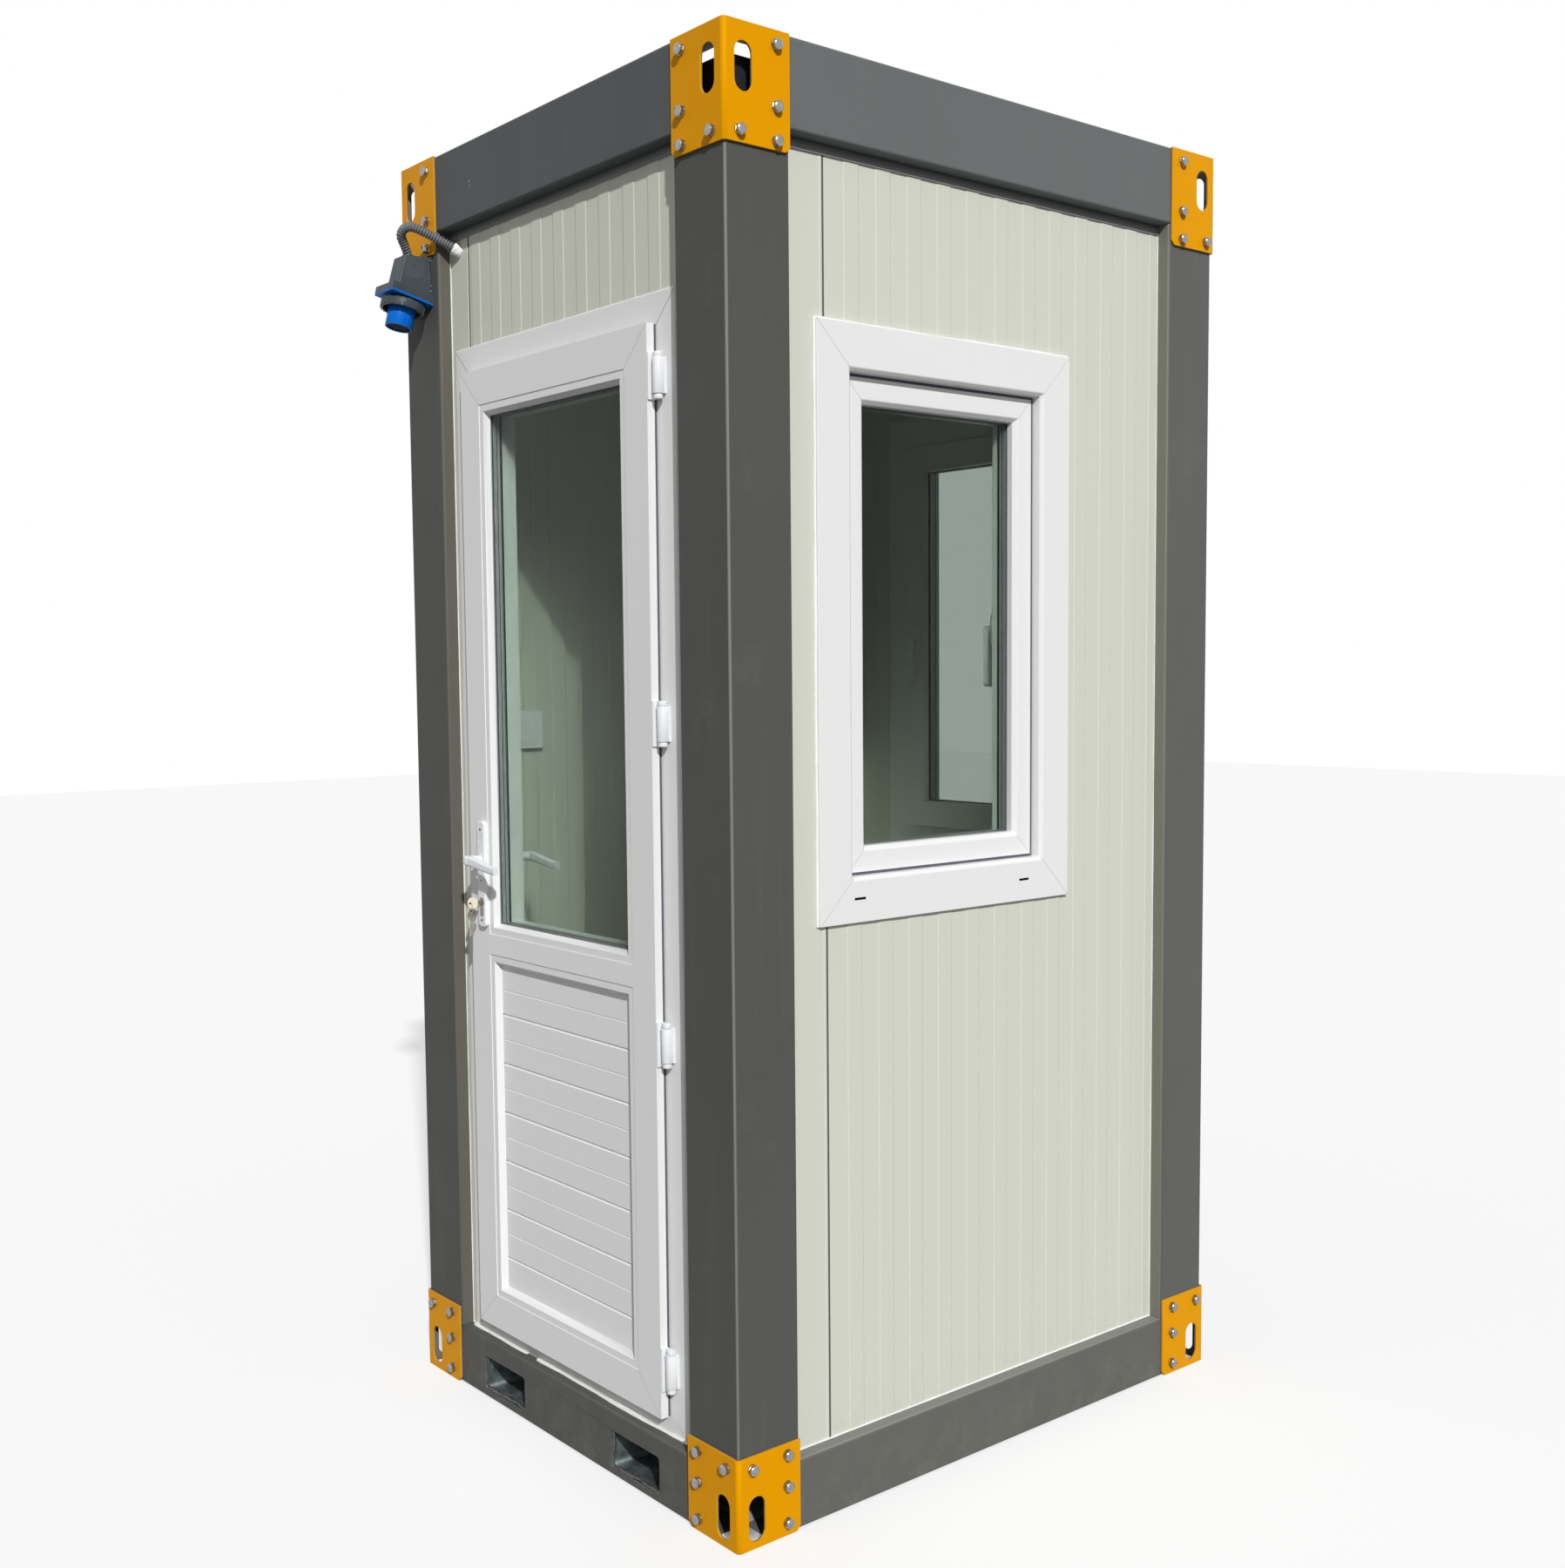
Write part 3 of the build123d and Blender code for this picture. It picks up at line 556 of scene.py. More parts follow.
def bracket_paint():
    """Yellow gloss paint on the outer faces, a little uneven and scuffed, over plain steel."""
    look = Look("bracket_paint", specular_ior_level=0.10, specular_tint=linear(255, 196, 60))
    colour = look.clouds((9.0, 4.0), (226, 152, 0), (234, 161, 0))
    scuff = look.strong((46.0, 5.0, 0.65, (1, 1, 0.5)), 0.70, 0.80, 0.35)
    colour = look.stain(colour, scuff, (182, 120, 14))
    colour = look.stain(colour, look.strong((330.0, 1.0), 0.80, 0.84, 0.6), (136, 98, 30))
    past_sides = look.past("X", half_width - paint_edge)
    edge = look.sum("MAXIMUM", past_sides, look.past("Y", half_depth - paint_edge))
    steel = look.clouds((60.0, 4.0), (112, 106, 96), (140, 134, 124))
    colour = look.mix(look.sum("GREATER_THAN", edge, 0.0), steel, colour)
    return look.finish(colour, ((30.0, 3.0), 0.32, 0.46), ((260.0, 2.0), paint_relief, 0.4))


def panel_sheet():
    """Off-white coil-coated sheet with a faint cloudiness, a scratch and a little dirt near its foot."""
    look = Look("panel_sheet", specular_ior_level=0.25)
    colour = look.clouds((1.3, 3.0), (206, 209, 196), (211, 212, 200))
    colour = look.stain(colour, look.strong((7.0, 6.0, 0.7), 0.66, 0.82, 0.10), (184, 184, 172))
    foot = look.span(look.axis("Z"), *foot_dirt_levels, 0.20, 0.0)
    foot_dirt = look.sum("MULTIPLY", foot, look.strong((34.0, 5.0, 0.7), 0.45, 0.75))
    colour = look.stain(colour, foot_dirt, (164, 160, 148))
    line = look.noise(1.0, 3.0, 0.6, (1, 300, 120))
    colour = look.stain(colour, look.mark(panel_scratch, scratch_radius, line, 0.68), (170, 172, 162))
    return look.finish(colour, ((6.0, 3.0), 0.40, 0.52), ((180.0, 3.0, 0.6), fine_relief, 0.3))


def roof_sheet():
    """Coated roof sheet, pale above and below, with dark foam along its edges."""
    look = Look("roof_sheet", specular_ior_level=0.2)
    colour = look.clouds((2.0, 4.0), (200, 203, 192), (210, 212, 201))
    colour = look.stain(colour, look.strong((12.0, 6.0, 0.7), 0.5, 0.75, 0.3), (160, 158, 148))
    facing = look.tree.nodes.new("ShaderNodeNewGeometry").outputs["Normal"]
    upright = look.sum("LESS_THAN", look.sum("ABSOLUTE", look.axis("Z", facing)), 0.5)
    colour = look.mix(upright, colour, look.clouds((90.0, 3.0), (30, 31, 40), (46, 47, 55)))
    return look.finish(colour, ((6.0, 3.0), 0.45, 0.60), ((180.0, 3.0, 0.6), metal_relief, 0.3))


def clear_glass():
    """Faintly green float glass, with a tinted shadow."""
    look = Look("clear_glass", transmission_weight=1.0, ior=1.12)
    look.put("Base Color", linear(*glass_tint))
    look.put("Roughness", look.strong((8.0, 5.0, 0.7), 0.55, 0.8, 0.03))
    tree = look.tree
    path = tree.nodes.new("ShaderNodeLightPath")
    clear = tree.nodes.new("ShaderNodeBsdfTransparent")
    clear.inputs["Color"].default_value = linear(*glass_tint)
    choice = tree.nodes.new("ShaderNodeMixShader")
    tree.links.new(path.outputs["Is Shadow Ray"], choice.inputs["Fac"])
    tree.links.new(look.shader.outputs["BSDF"], choice.inputs[1])
    tree.links.new(clear.outputs["BSDF"], choice.inputs[2])
    tree.links.new(choice.outputs["Shader"], tree.nodes["Material Output"].inputs["Surface"])
    return look.material


def metal(name, dark, light, roughness, scale, metallic=1.0):
    """Plain metal with clouded brightness."""
    gloss = ((scale * 2, 3.0), roughness, roughness + 0.16)
    relief = ((scale * 6, 2.0), metal_relief, 0.4)
    return coat(name, (scale, 4.0), dark, light, (), gloss, relief, metallic=metallic)


def galvanised():
    """Zinc-coated sheet with spangles and white bloom."""
    look = Look("galvanised", metallic=0.75)
    spangle = look.node("ShaderNodeTexVoronoi", vector=look.coordinates, scale=70.0).outputs["Distance"]
    colour = look.mix(spangle, linear(84, 94, 97), linear(134, 144, 145))
    colour = look.stain(colour, look.strong((16.0, 6.0, 0.7), 0.5, 0.68, 0.5), (168, 178, 177))
    return look.finish(colour, ((24.0, 3.0), 0.38, 0.62), (spangle, paint_relief, 0.3))


def moulded(name, dark, light, roughness, scale=60.0, depth=paint_relief, rings=False, sheen=0.35):
    """Moulded plastic or rubber with a fine texture, and mould rings drawn as painted highlight where
    asked.
    """
    look = Look(name, specular_ior_level=sheen)
    lighter = tuple(min(255, value + 40) for value in light)
    colour = look.clouds((scale, 4.0), dark, light)
    colour = look.stain(colour, look.strong((scale * 1.7, 5.0, 0.7), 0.70, 0.84, 0.25), lighter)
    # Mould rings: lighter rings, a painted highlight on their ridges
    if rings:
        away = look.distance(mould_centre)
        wave = look.sum("SINE", look.sum("MULTIPLY", away, 2 * math.pi / mould_pitch))
        inside = look.sum("LESS_THAN", away, mould_rings[1])
        band = look.sum("MULTIPLY", inside, look.sum("GREATER_THAN", away, mould_rings[0]))
        ring_highlight = look.sum("MULTIPLY", look.span(wave, 0.55, 0.95, 0.0, 0.35), band)
        colour = look.stain(colour, ring_highlight, lighter)
    gloss = ((scale / 2, 3.0), roughness, roughness + 0.14)
    return look.finish(colour, gloss, ((scale * 12, 2.0), depth, 0.4))


post_paint = frame_paint("post_paint", (82, 83, 81), (89, 90, 87), lip_share=0.8)
# A darker copy of the side beams' paint for the front and back top beams: painted shade
end_paint_with_painted_shade = frame_paint("end_paint_with_painted_shade", (86, 90, 92), (94, 97, 98), beam_chips)
side_paint = frame_paint("side_paint", (103, 106, 106), (111, 114, 114))
painted_beam_shadow = painted_beam_shadow_look()
back_post_paint = frame_paint("back_post_paint", (93, 94, 92), (101, 102, 99), lip_share=0.8)
base_end_paint = frame_paint("base_end_paint", (87, 87, 85), (95, 95, 92))
base_side_paint = frame_paint("base_side_paint", (97, 98, 93), (105, 106, 101), top_share=0.8)
yellow = bracket_paint()
sheet = panel_sheet()
roof_covering = roof_sheet()
plastic = coat(
    "white_plastic", (2.6, 3.0), (230, 231, 230), (234, 234, 233),
    (
        ((16.0, 6.0, 0.7), 0.68, 0.84, 0.14, (204, 204, 202)),
        ((240.0, 1.0), 0.81, 0.84, 0.4, (176, 174, 168)),
    ),
    ((12.0, 3.0), 0.30, 0.42), ((90.0, 2.0), fine_relief, 0.3), specular_ior_level=0.2,
)
lacquer = coat(
    "white_lacquer", (40.0, 3.0), (230, 232, 235), (236, 238, 240),
    (((70.0, 4.0, 0.65), 0.72, 0.82, 0.25, (206, 206, 202)),),
    ((50.0, 2.0), 0.22, 0.34), ((320.0, 2.0), fine_relief, 0.3), specular_ior_level=0.4,
)
silicone = coat(
    "sealant", (60.0, 4.0), (232, 232, 228), (246, 246, 243), (),
    ((90.0, 2.0), 0.34, 0.55), ((110.0, 3.0), sealant_relief, 0.4),
)
glass = clear_glass()
zinc = metal("zinc", (112, 114, 117), (182, 183, 184), 0.15, 120.0)
spacer_metal = metal("spacer_metal", (128, 134, 136), (160, 166, 168), 0.40, 90.0, 0.4)
nickel = metal("nickel", (112, 106, 98), (158, 150, 138), 0.26, 140.0)
key_steel = metal("key_steel", (168, 164, 152), (214, 210, 198), 0.24, 160.0)
key_cream = moulded("key_cream", (224, 214, 188), (238, 229, 206), 0.40, 160.0)
galvanised_sheet = galvanised()
weld_steel = metal("weld_steel", (38, 38, 40), (120, 118, 114), 0.40, 220.0, 0.5)
rubber = moulded("rubber", (30, 31, 33), (44, 45, 48), 0.62, 90.0, sheen=0.08)
grey_rubber = moulded("grey_rubber", (84, 86, 98), (100, 102, 114), 0.55, 90.0, sheen=0.1)
light_rubber = moulded("light_rubber", (138, 140, 142), (156, 158, 159), 0.55, 90.0)
inlet_grey = moulded("inlet_grey", (58, 65, 70), (70, 77, 82), 0.34, rings=True, sheen=0.2)
inlet_blue = moulded("inlet_blue", (0, 96, 192), (8, 112, 212), 0.34, sheen=0.1)
conduit_grey = moulded("conduit_grey", (100, 105, 108), (120, 125, 127), 0.38, sheen=0.2)
# Near-black for holes, slots and the inside of the shroud: painted shade in hollows
painted_hollow_shade = moulded("painted_hollow_shade", (10, 12, 18), (18, 20, 27), 0.55, sheen=0.05)
wood_grain = (6.0, 6.0, 0.65, (14, 1.2, 1))
floor_covering = coat(
    "floor_sheet", wood_grain, (72, 58, 46), (122, 100, 80), (),
    ((20.0, 3.0), 0.40, 0.60), (wood_grain, floor_relief, 0.4),
)
# Dark strip over each sheet joint: painted shade of the joint's groove
joint_groove_painted_shade = moulded("joint_groove_painted_shade", (84, 86, 82), (104, 106, 101), 0.55, 120.0, sheen=0.05)
seam_shade = moulded("seam_shade", (186, 187, 189), (202, 203, 204), 0.40, 120.0, seam_relief)


def finish_piece(name, shape, material, body="cabin", sharp=sharp_angle, smooth=True):
    """Turns built faces into one shaded piece that rides on a body."""
    bmesh.ops.remove_doubles(shape, verts=shape.verts, dist=piece_merge_distance)
    mesh = bpy.data.meshes.new(name)
    shape.to_mesh(mesh)
    shape.free()
    mesh.materials.append(material)
    for polygon in mesh.polygons:
        polygon.use_smooth = smooth
    if smooth:
        mesh.set_sharp_from_angle(angle=math.radians(sharp))
    piece = bpy.data.objects.new(name, mesh)
    bpy.context.scene.collection.objects.link(piece)
    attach(piece, body)
    return piece


def add_face(shape, points):
    """One face from its corner points."""
    return shape.faces.new([shape.verts.new(point) for point in points])


def add_block(shape, place, across, up, out):
    """A box between two values on each of a side's three directions."""
    corners = [[[shape.verts.new(place(a, u, o)) for o in out] for u in up] for a in across]
    loops = (
        ((0, 0, 1), (1, 0, 1), (1, 1, 1), (0, 1, 1)),
        ((1, 0, 0), (0, 0, 0), (0, 1, 0), (1, 1, 0)),
        ((1, 0, 1), (1, 0, 0), (1, 1, 0), (1, 1, 1)),
        ((0, 0, 0), (0, 0, 1), (0, 1, 1), (0, 1, 0)),
        ((0, 1, 1), (1, 1, 1), (1, 1, 0), (0, 1, 0)),
        ((0, 0, 0), (1, 0, 0), (1, 0, 1), (0, 0, 1)),
    )
    for loop in loops:
        shape.faces.new([corners[i][j][k] for i, j, k in loop])


def join_rings(shape, rings, closed=False):
    """Faces from each ring of corners to the next, with lids on the two ends unless it closes."""
    following = rings[1:] + rings[:1] if closed else rings[1:]
    for lower, upper in zip(rings, following):
        for number, corner in enumerate(lower):
            after = (number + 1) % len(lower)
            shape.faces.new([corner, lower[after], upper[after], upper[number]])
    if not closed:
        shape.faces.new(rings[-1])
        shape.faces.new(list(reversed(rings[0])))


def add_lathe(shape, origin, axis, profile, segments=20, turn=0.0):
    """A surface of revolution from (radius, height) pairs along an axis."""
    direction = Vector(axis).normalized()
    basis = direction.to_track_quat("Z", "Y").to_matrix()
    rings = []
    for radius, height in profile:
        ring = []
        for number in range(segments):
            angle = turn + 2 * math.pi * number / segments
            local = Vector((radius * math.cos(angle), radius * math.sin(angle), height))
            ring.append(shape.verts.new(Vector(origin) + basis @ local))
        rings.append(ring)
    join_rings(shape, rings)


def add_tube(shape, points, radii, segments=8, closed=False):
    """A tube of varying radius through points."""
    rings = []
    count = len(points)
    normal = None
    for number, point in enumerate(points):
        before = points[(number - 1) % count] if closed or number else point
        after = points[(number + 1) % count] if closed or number < count - 1 else point
        direction = (after - before).normalized()
        if normal is None:
            normal = direction.orthogonal().normalized()
        normal = (normal - direction * normal.dot(direction)).normalized()
        other = direction.cross(normal)
        ring = []
        for step in range(segments):
            angle = 2 * math.pi * step / segments
            offset = normal * math.cos(angle) + other * math.sin(angle)
            ring.append(shape.verts.new(point + offset * radii[number]))
        rings.append(ring)
    join_rings(shape, rings, closed)


def add_bead(shape, start, end, radius, wander_share=bead_wander_share, step=bead_step, break_shares=()):
    """An uneven run of sealant between two points, with an optional break as shares of its length."""
    length = (end - start).length
    count = max(3, int(length / step))
    run = []
    radii = []
    sway = 0.0
    swell = 0.0
    for number in range(count + 1):
        share = number / count
        if break_shares and break_shares[0] < share < break_shares[1]:
            if len(run) > 2:
                add_tube(shape, run, radii, 8)
            run = []
            radii = []
            continue
        stir = random_source.uniform(-1, 1) * radius * wander_share
        sway = sway_shares[0] * sway + stir * sway_shares[1]
        stir = random_source.uniform(-1, 1) * wander_share
        swell = swell_shares[0] * swell + stir * swell_shares[1]
        drift = Vector(drift_shares) * sway
        run.append(start.lerp(end, share) + drift)
        radii.append(radius * max(thinnest_share, 1 + swell))
    if len(run) > 2:
        add_tube(shape, run, radii, 8)


def add_ring_bead(shape, place, across, up, out, radii):
    """Sealant round a rectangle on one side of the cabin: bottom, right, top, left."""
    corners = [
        place(across[0], up[0], out),
        place(across[1], up[0], out),
        place(across[1], up[1], out),
        place(across[0], up[1], out),
    ]
    for start, end, radius in zip(corners, corners[1:] + corners[:1], radii):
        add_bead(shape, start, end, radius, window_wander_share)


def add_border(shape, place, across, up, out, face):
    """A flat-sided rectangular ring, as wide as face, between two depths."""
    low, high = out
    outer = [(across[0], up[0]), (across[1], up[0]), (across[1], up[1]), (across[0], up[1])]
    inner = [
        (across[0] + face, up[0] + face),
        (across[1] - face, up[0] + face),
        (across[1] - face, up[1] - face),
        (across[0] + face, up[1] - face),
    ]
    rows = []
    for outline, depth in ((outer, low), (outer, high), (inner, high), (inner, low)):
        rows.append([shape.verts.new(place(a, u, depth)) for a, u in outline])
    join_rings(shape, rows, closed=True)


def add_line(shape, place, start, end, width, out):
    """A thin raised line on a face, such as a welded mitre."""
    direction = Vector((end[0] - start[0], end[1] - start[1])).normalized()
    offset = Vector((-direction.y, direction.x)) * width / 2
    corners = []
    for point, sign in ((start, -1), (end, -1), (end, 1), (start, 1)):
        corners.append(place(point[0] + sign * offset.x, point[1] + sign * offset.y, out))
    add_face(shape, corners)


def open_runs(height, hole, across):
    """The parts of a wall's height that a hole leaves at one place."""
    if hole and hole[0][0] < across < hole[0][1]:
        runs = ((height[0], hole[1][0]), (hole[1][1], height[1]))
        return [run for run in runs if run[1] - run[0] > tiny]
    return [height]


def cladding(name, place, span, height, ribs, joints=(), hole=None):
    """Profiled face sheet of one wall, open where a window or door frame stands."""
    stations = [(span[0], rib_low), (span[1], rib_low)]
    first, count, pitch, first_slope = ribs
    for number in range(count):
        start = first + number * pitch
        stations.append((start, rib_low))
        stations.append((start + first_slope, rib_high))
        stations.append((start + rib_width - rib_slope, rib_high))
        stations.append((start + rib_width, rib_low))
    for joint in joints:
        for offset, depth in joint_profile:
            stations.append((joint + offset, depth))
    stations = sorted(station for station in stations if span[0] <= station[0] <= span[1])
    if hole:
        for edge in hole[0]:
            before = [station for station in stations if station[0] <= edge]
            stations.append((edge, before[-1][1]))
        stations.sort()
    shape = bmesh.new()
    for (a_low, o_low), (a_high, o_high) in zip(stations, stations[1:]):
        if a_high - a_low < tiny:
            continue
        for low, high in open_runs(height, hole, (a_low + a_high) / 2):
            corners = (
                (a_low, low, o_low),
                (a_high, low, o_high),
                (a_high, high, o_high),
                (a_low, high, o_low),
            )
            add_face(shape, [place(*corner) for corner in corners])
    finish_piece(name, shape, sheet, smooth=False)
    if not joints:
        return
    # Dark strips over the sheet joints: painted shade of their grooves
    seams = bmesh.new()
    for joint in joints:
        for run in open_runs(height, hole, joint):
            add_block(seams, place, about(joint, joint_width), run, (0, rib_low + joint_lift))
    finish_piece(name + "_seams", seams, joint_groove_painted_shade)


def add_bolt(shape, origin, outward):
    """Hexagon flange bolt with a chamfered head."""
    turn = random_source.uniform(0, math.pi / 3)
    shoulder = bolt_height - bolt_chamfer
    flange = ((bolt_flange, 0.0), (bolt_flange, bolt_rim), (bolt_head, bolt_cone))
    crown = (
        (bolt_head, shoulder),
        (bolt_head - bolt_chamfer / 2, bolt_height - bolt_chamfer / 3),
        (bolt_head - bolt_crown_share * bolt_chamfer, bolt_height),
        (bolt_head / 2, bolt_height - bolt_hollow),
    )
    add_lathe(shape, origin, outward, flange, 24)
    add_lathe(shape, origin, outward, ((bolt_head, bolt_rim), (bolt_head, shoulder)), 6, turn)
    add_lathe(shape, origin, outward, crown, 24)


def bracket_bolts():
    """Bolts through both flanges of the eight corner brackets."""
    top = bmesh.new()
    base = bmesh.new()
    for place, span in zip(bracket_faces, bracket_half_spans):
        outward = place(0, 0, 1) - place(0, 0, 0)
        for sign in (-1, 1):
            column = sign * (span - bolt_column)
            inner = sign * (span - bolt_inner)
            for drop in top_bolt_drops:
                add_bolt(top, place(column, cabin_top - drop), outward)
            add_bolt(top, place(inner, cabin_top - top_inner_drop), outward)
            for rise in base_bolt_rises:
                add_bolt(base, place(column, rise), outward)
            add_bolt(base, place(inner, base_inner_rise), outward)
    finish_piece("top_bracket_bolts", top, zinc)
    finish_piece("base_bracket_bolts", base, zinc)


def wall_faces():
    """Profiled sheets outside and inside."""
    side_span = (-bay_y, bay_y)
    end_span = (-bay_x, bay_x)
    side_height = (wall_low, side_soffit)
    end_height = (wall_low, front_soffit)
    door_span = (door_left, door_right)
    door_rise = (wall_low, door_top)
    cladding("right_face", right, side_span, side_height, side_ribs, side_joints, side_frame)
    cladding("left_face", left, side_span, side_height, side_ribs, side_joints)
    cladding("back_face", back, end_span, end_height, front_ribs, front_joints, back_frame)
    cladding("front_face", front, end_span, end_height, front_ribs, front_joints, (door_span, door_rise))
    inside = (wall_low, wall_high)
    side_span = (-inner_y, inner_y)
    end_span = (-inner_x, inner_x)
    for name, place, span, ribs, hole in (
        ("right", right_inside, side_span, inside_side_ribs, (mirrored(side_frame[0]), side_frame[1])),
        ("left", left_inside, side_span, inside_side_ribs, None),
        ("back", back_inside, end_span, inside_end_ribs, (mirrored(back_frame[0]), back_frame[1])),
        ("front", front_inside, end_span, inside_end_ribs, (mirrored(door_span), door_rise)),
    ):
        cladding(name + "_face_inside", place, span, inside, ribs, (), hole)


def wall_sealant():
    """Sealant where the walls meet the base beams and posts, and strips of painted shadow under the top
    beams.
    """
    shape = bmesh.new()
    strips = bmesh.new()
    for place, half_bay, soffit in (
        (front, bay_x, front_soffit),
        (back, bay_x, front_soffit),
        (right, bay_y, side_soffit),
        (left, bay_y, side_soffit),
    ):
        low_left = place(-half_bay, wall_low, bead_off)
        low_right = place(half_bay, wall_low, bead_off)
        add_bead(shape, low_left, low_right, foot_bead)
        add_bead(shape, low_left, place(-half_bay, soffit, bead_off), post_bead)
        add_bead(shape, low_right, place(half_bay, soffit, bead_off), post_bead)
        # Grey strip under each top beam: painted shadow of the beam on the wall
        add_block(strips, place, (-half_bay, half_bay), (soffit - beam_shadow_height, soffit), (0, beam_shadow_depth))
    finish_piece("wall_sealant", shape, silicone, sharp=soft_angle)
    finish_piece("painted_beam_shadows", strips, painted_beam_shadow)


def frame_sealant():
    """Sealant round the windows and the door frame."""
    shape = bmesh.new()
    for place, outer in of_windows("frame"):
        add_ring_bead(shape, place, outer[0], outer[1], bead_off, window_beads)
    top_left = front(door_left, door_top, bead_off)
    top_right = front(door_right, door_top, bead_off)
    add_bead(shape, front(door_left, wall_low, bead_off), top_left, door_side_bead)
    add_bead(shape, front(door_right, wall_low, bead_off), top_right, door_side_bead)
    add_bead(shape, top_left, top_right, door_top_bead)
    foot_left = front(door_left, wall_low, door_out + bead_off)
    foot_right = front(door_right, wall_low, door_out + bead_off)
    add_bead(shape, foot_left, foot_right, sill_bead, sill_wander_share, break_shares=sill_break_shares)
    finish_piece("frame_sealant", shape, silicone, sharp=soft_angle)


def add_mitres(shape, place, box_spans, face, hidden=0.0, foot_face=None):
    """Weld lines across the four corners of a plastic frame, from where its edge shows inwards."""
    across, up, out = box_spans
    for edge, inward in ((across[0], 1), (across[1], -1)):
        for level, upward, rise in ((up[0], 1, foot_face or face), (up[1], -1, face)):
            start = (edge + inward * hidden, level + upward * hidden)
            end = (edge + inward * face, level + upward * rise)
            add_line(shape, place, start, end, mitre_width, out[1] + mitre_lift)


def mitres():
    """Weld lines of the window frames, their sashes, the door frame and the leaf."""
    fixed = bmesh.new()
    moving = bmesh.new()
    for place, outer in of_windows("frame"):
        add_mitres(fixed, place, outer, window_face)
    door_spans = ((door_left, door_right), (wall_low, door_top), (0, door_out))
    add_mitres(fixed, front, door_spans, door_face, foot_face=sill_face)
    add_mitres(moving, front, leaf, leaf_face)
    for place, sash in of_windows("sash"):
        add_mitres(fixed, place, sash, sash_face, sash_hidden)
    finish_piece("frame_mitres", fixed, seam_shade)
    finish_piece("leaf_mitres", moving, seam_shade, "door")


def glazing():
    """Spacer bars and gaskets of the panes in both windows and the door."""
    units = []
    for (place, panes), (_, outer) in zip(of_windows("glass"), of_windows("frame")):
        units.append((place, panes, inset(outer[0], window_light), inset(outer[1], window_light)))
    add_glazing("window", units, "cabin")
    door_light = (glass_low, leaf[1][1] - leaf_light)
    door_unit = (front, spans("door_glass", front), inset(leaf[0], leaf_light), door_light)
    add_glazing("door", [door_unit], "door")


def add_glazing(name, units, body):
    """Spacer between two panes, its dark edges, and a gasket on each outer face."""
    bars = bmesh.new()
    dark = bmesh.new()
    seals = bmesh.new()
    for place, (across, up, depth), light_across, light_up in units:
        back_face = depth[0] + pane
        front_face = depth[1] - pane
        middle = (back_face + front_face) / 2
        bar = (place, inset(across, spacer_inset), inset(up, spacer_inset))
        add_border(bars, *bar, (back_face + butyl, front_face - butyl), spacer_width)
        add_border(dark, *bar, (back_face, back_face + butyl), spacer_width)
        add_border(seals, *bar, (front_face - butyl, front_face), spacer_width)
        line = (middle - pinhole_line, middle + pinhole_line)
        add_border(dark, *bar, line, spacer_width + mitre_lift)
        seal = (place, inset(light_across, -gasket_hidden), inset(light_up, -gasket_hidden))
        add_border(seals, *seal, (depth[1], depth[1] + gasket_depth), gasket_width)
        add_border(dark, *seal, (depth[0] - gasket_depth, depth[0]), gasket_width)
    finish_piece(name + "_spacers", bars, spacer_metal, body)
    finish_piece(name + "_spacer_edges", dark, rubber, body)
    finish_piece(name + "_gaskets", seals, light_rubber, body)


def door_seal():
    """Rubber seal behind the leaf's overlapping edge."""
    shape = bmesh.new()
    depth = (door_out + seal_clearance, leaf[2][1] - flange_thickness)
    add_border(shape, front, inset(leaf[0], seal_inset), inset(leaf[1], seal_inset), depth, seal_width)
    finish_piece("door_seal", shape, grey_rubber, "door")


def sash_seals():
    """Dark seals in the gaps between the window frames and their sashes."""
    shape = bmesh.new()
    edge = sash_hidden - sash_gap
    for place, (across, up, out) in of_windows("sash"):
        depth = (out[1] - sash_gap, out[1] - sash_seal_drop)
        add_border(shape, place, inset(across, edge), inset(up, edge), depth, sash_gap)
    finish_piece("sash_seals", shape, grey_rubber)


def window_slots():
    """Drainage slots in the foot of the side window's frame, drawn as dark patches of painted shade."""
    shape = bmesh.new()
    face = side_frame[2][1]
    for across, up in slot_places:
        depth = (face - slot_depth, face + slot_depth)
        add_block(shape, right, about(across, slot_length), about(up, slot_height), depth)
    finish_piece("window_slots", shape, painted_hollow_shade)


def fork_welds():
    """Rough weld beads round the mouths of the fork pockets, set back behind the web's edge."""
    shape = bmesh.new()
    mouth = frame_y - wall_y - weld_depth
    high = pocket_rise + pocket_height - weld_inset
    low = pocket_rise + weld_inset
    for place in (front, back):
        for sign in (-1, 1):
            near, far = inset(about(sign * pocket_spacing / 2, pocket_width), weld_inset)
            corners = [place(near, high, mouth), place(near, low, mouth), place(far, low, mouth)]
            for start, end in zip(corners, corners[1:]):
                add_bead(shape, start, end, weld_bead, weld_wander_share, weld_step)
    finish_piece("fork_welds", shape, weld_steel, sharp=soft_angle)


def handle_screws():
    """Cross-slotted screws of the outer handle plate, their slots drawn as dark bars of painted shade."""
    heads = bmesh.new()
    slots = bmesh.new()
    face = spans("handle_plates", front)[2][1]
    middle = lock_x()
    for level in screw_levels:
        add_lathe(heads, front(middle, level, face), (0, -1, 0), (
            (screw_radius, 0.0),
            (screw_radius * screw_shares[0], screw_dome / 2),
            (screw_radius * screw_shares[1], screw_dome),
        ))
        for width, height in ((cross_length, cross_width), (cross_width, cross_length)):
            depth = (face, face + screw_dome + mitre_lift)
            add_block(slots, front, about(middle, width), about(level, height), depth)
    finish_piece("handle_screws", heads, zinc, "door")
    finish_piece("handle_screw_slots", slots, painted_hollow_shade, "door")


def lock_x():
    """Middle of the handle plate and lock, across the door."""
    low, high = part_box("lock_cylinder")
    return (low.x + high.x) / 2


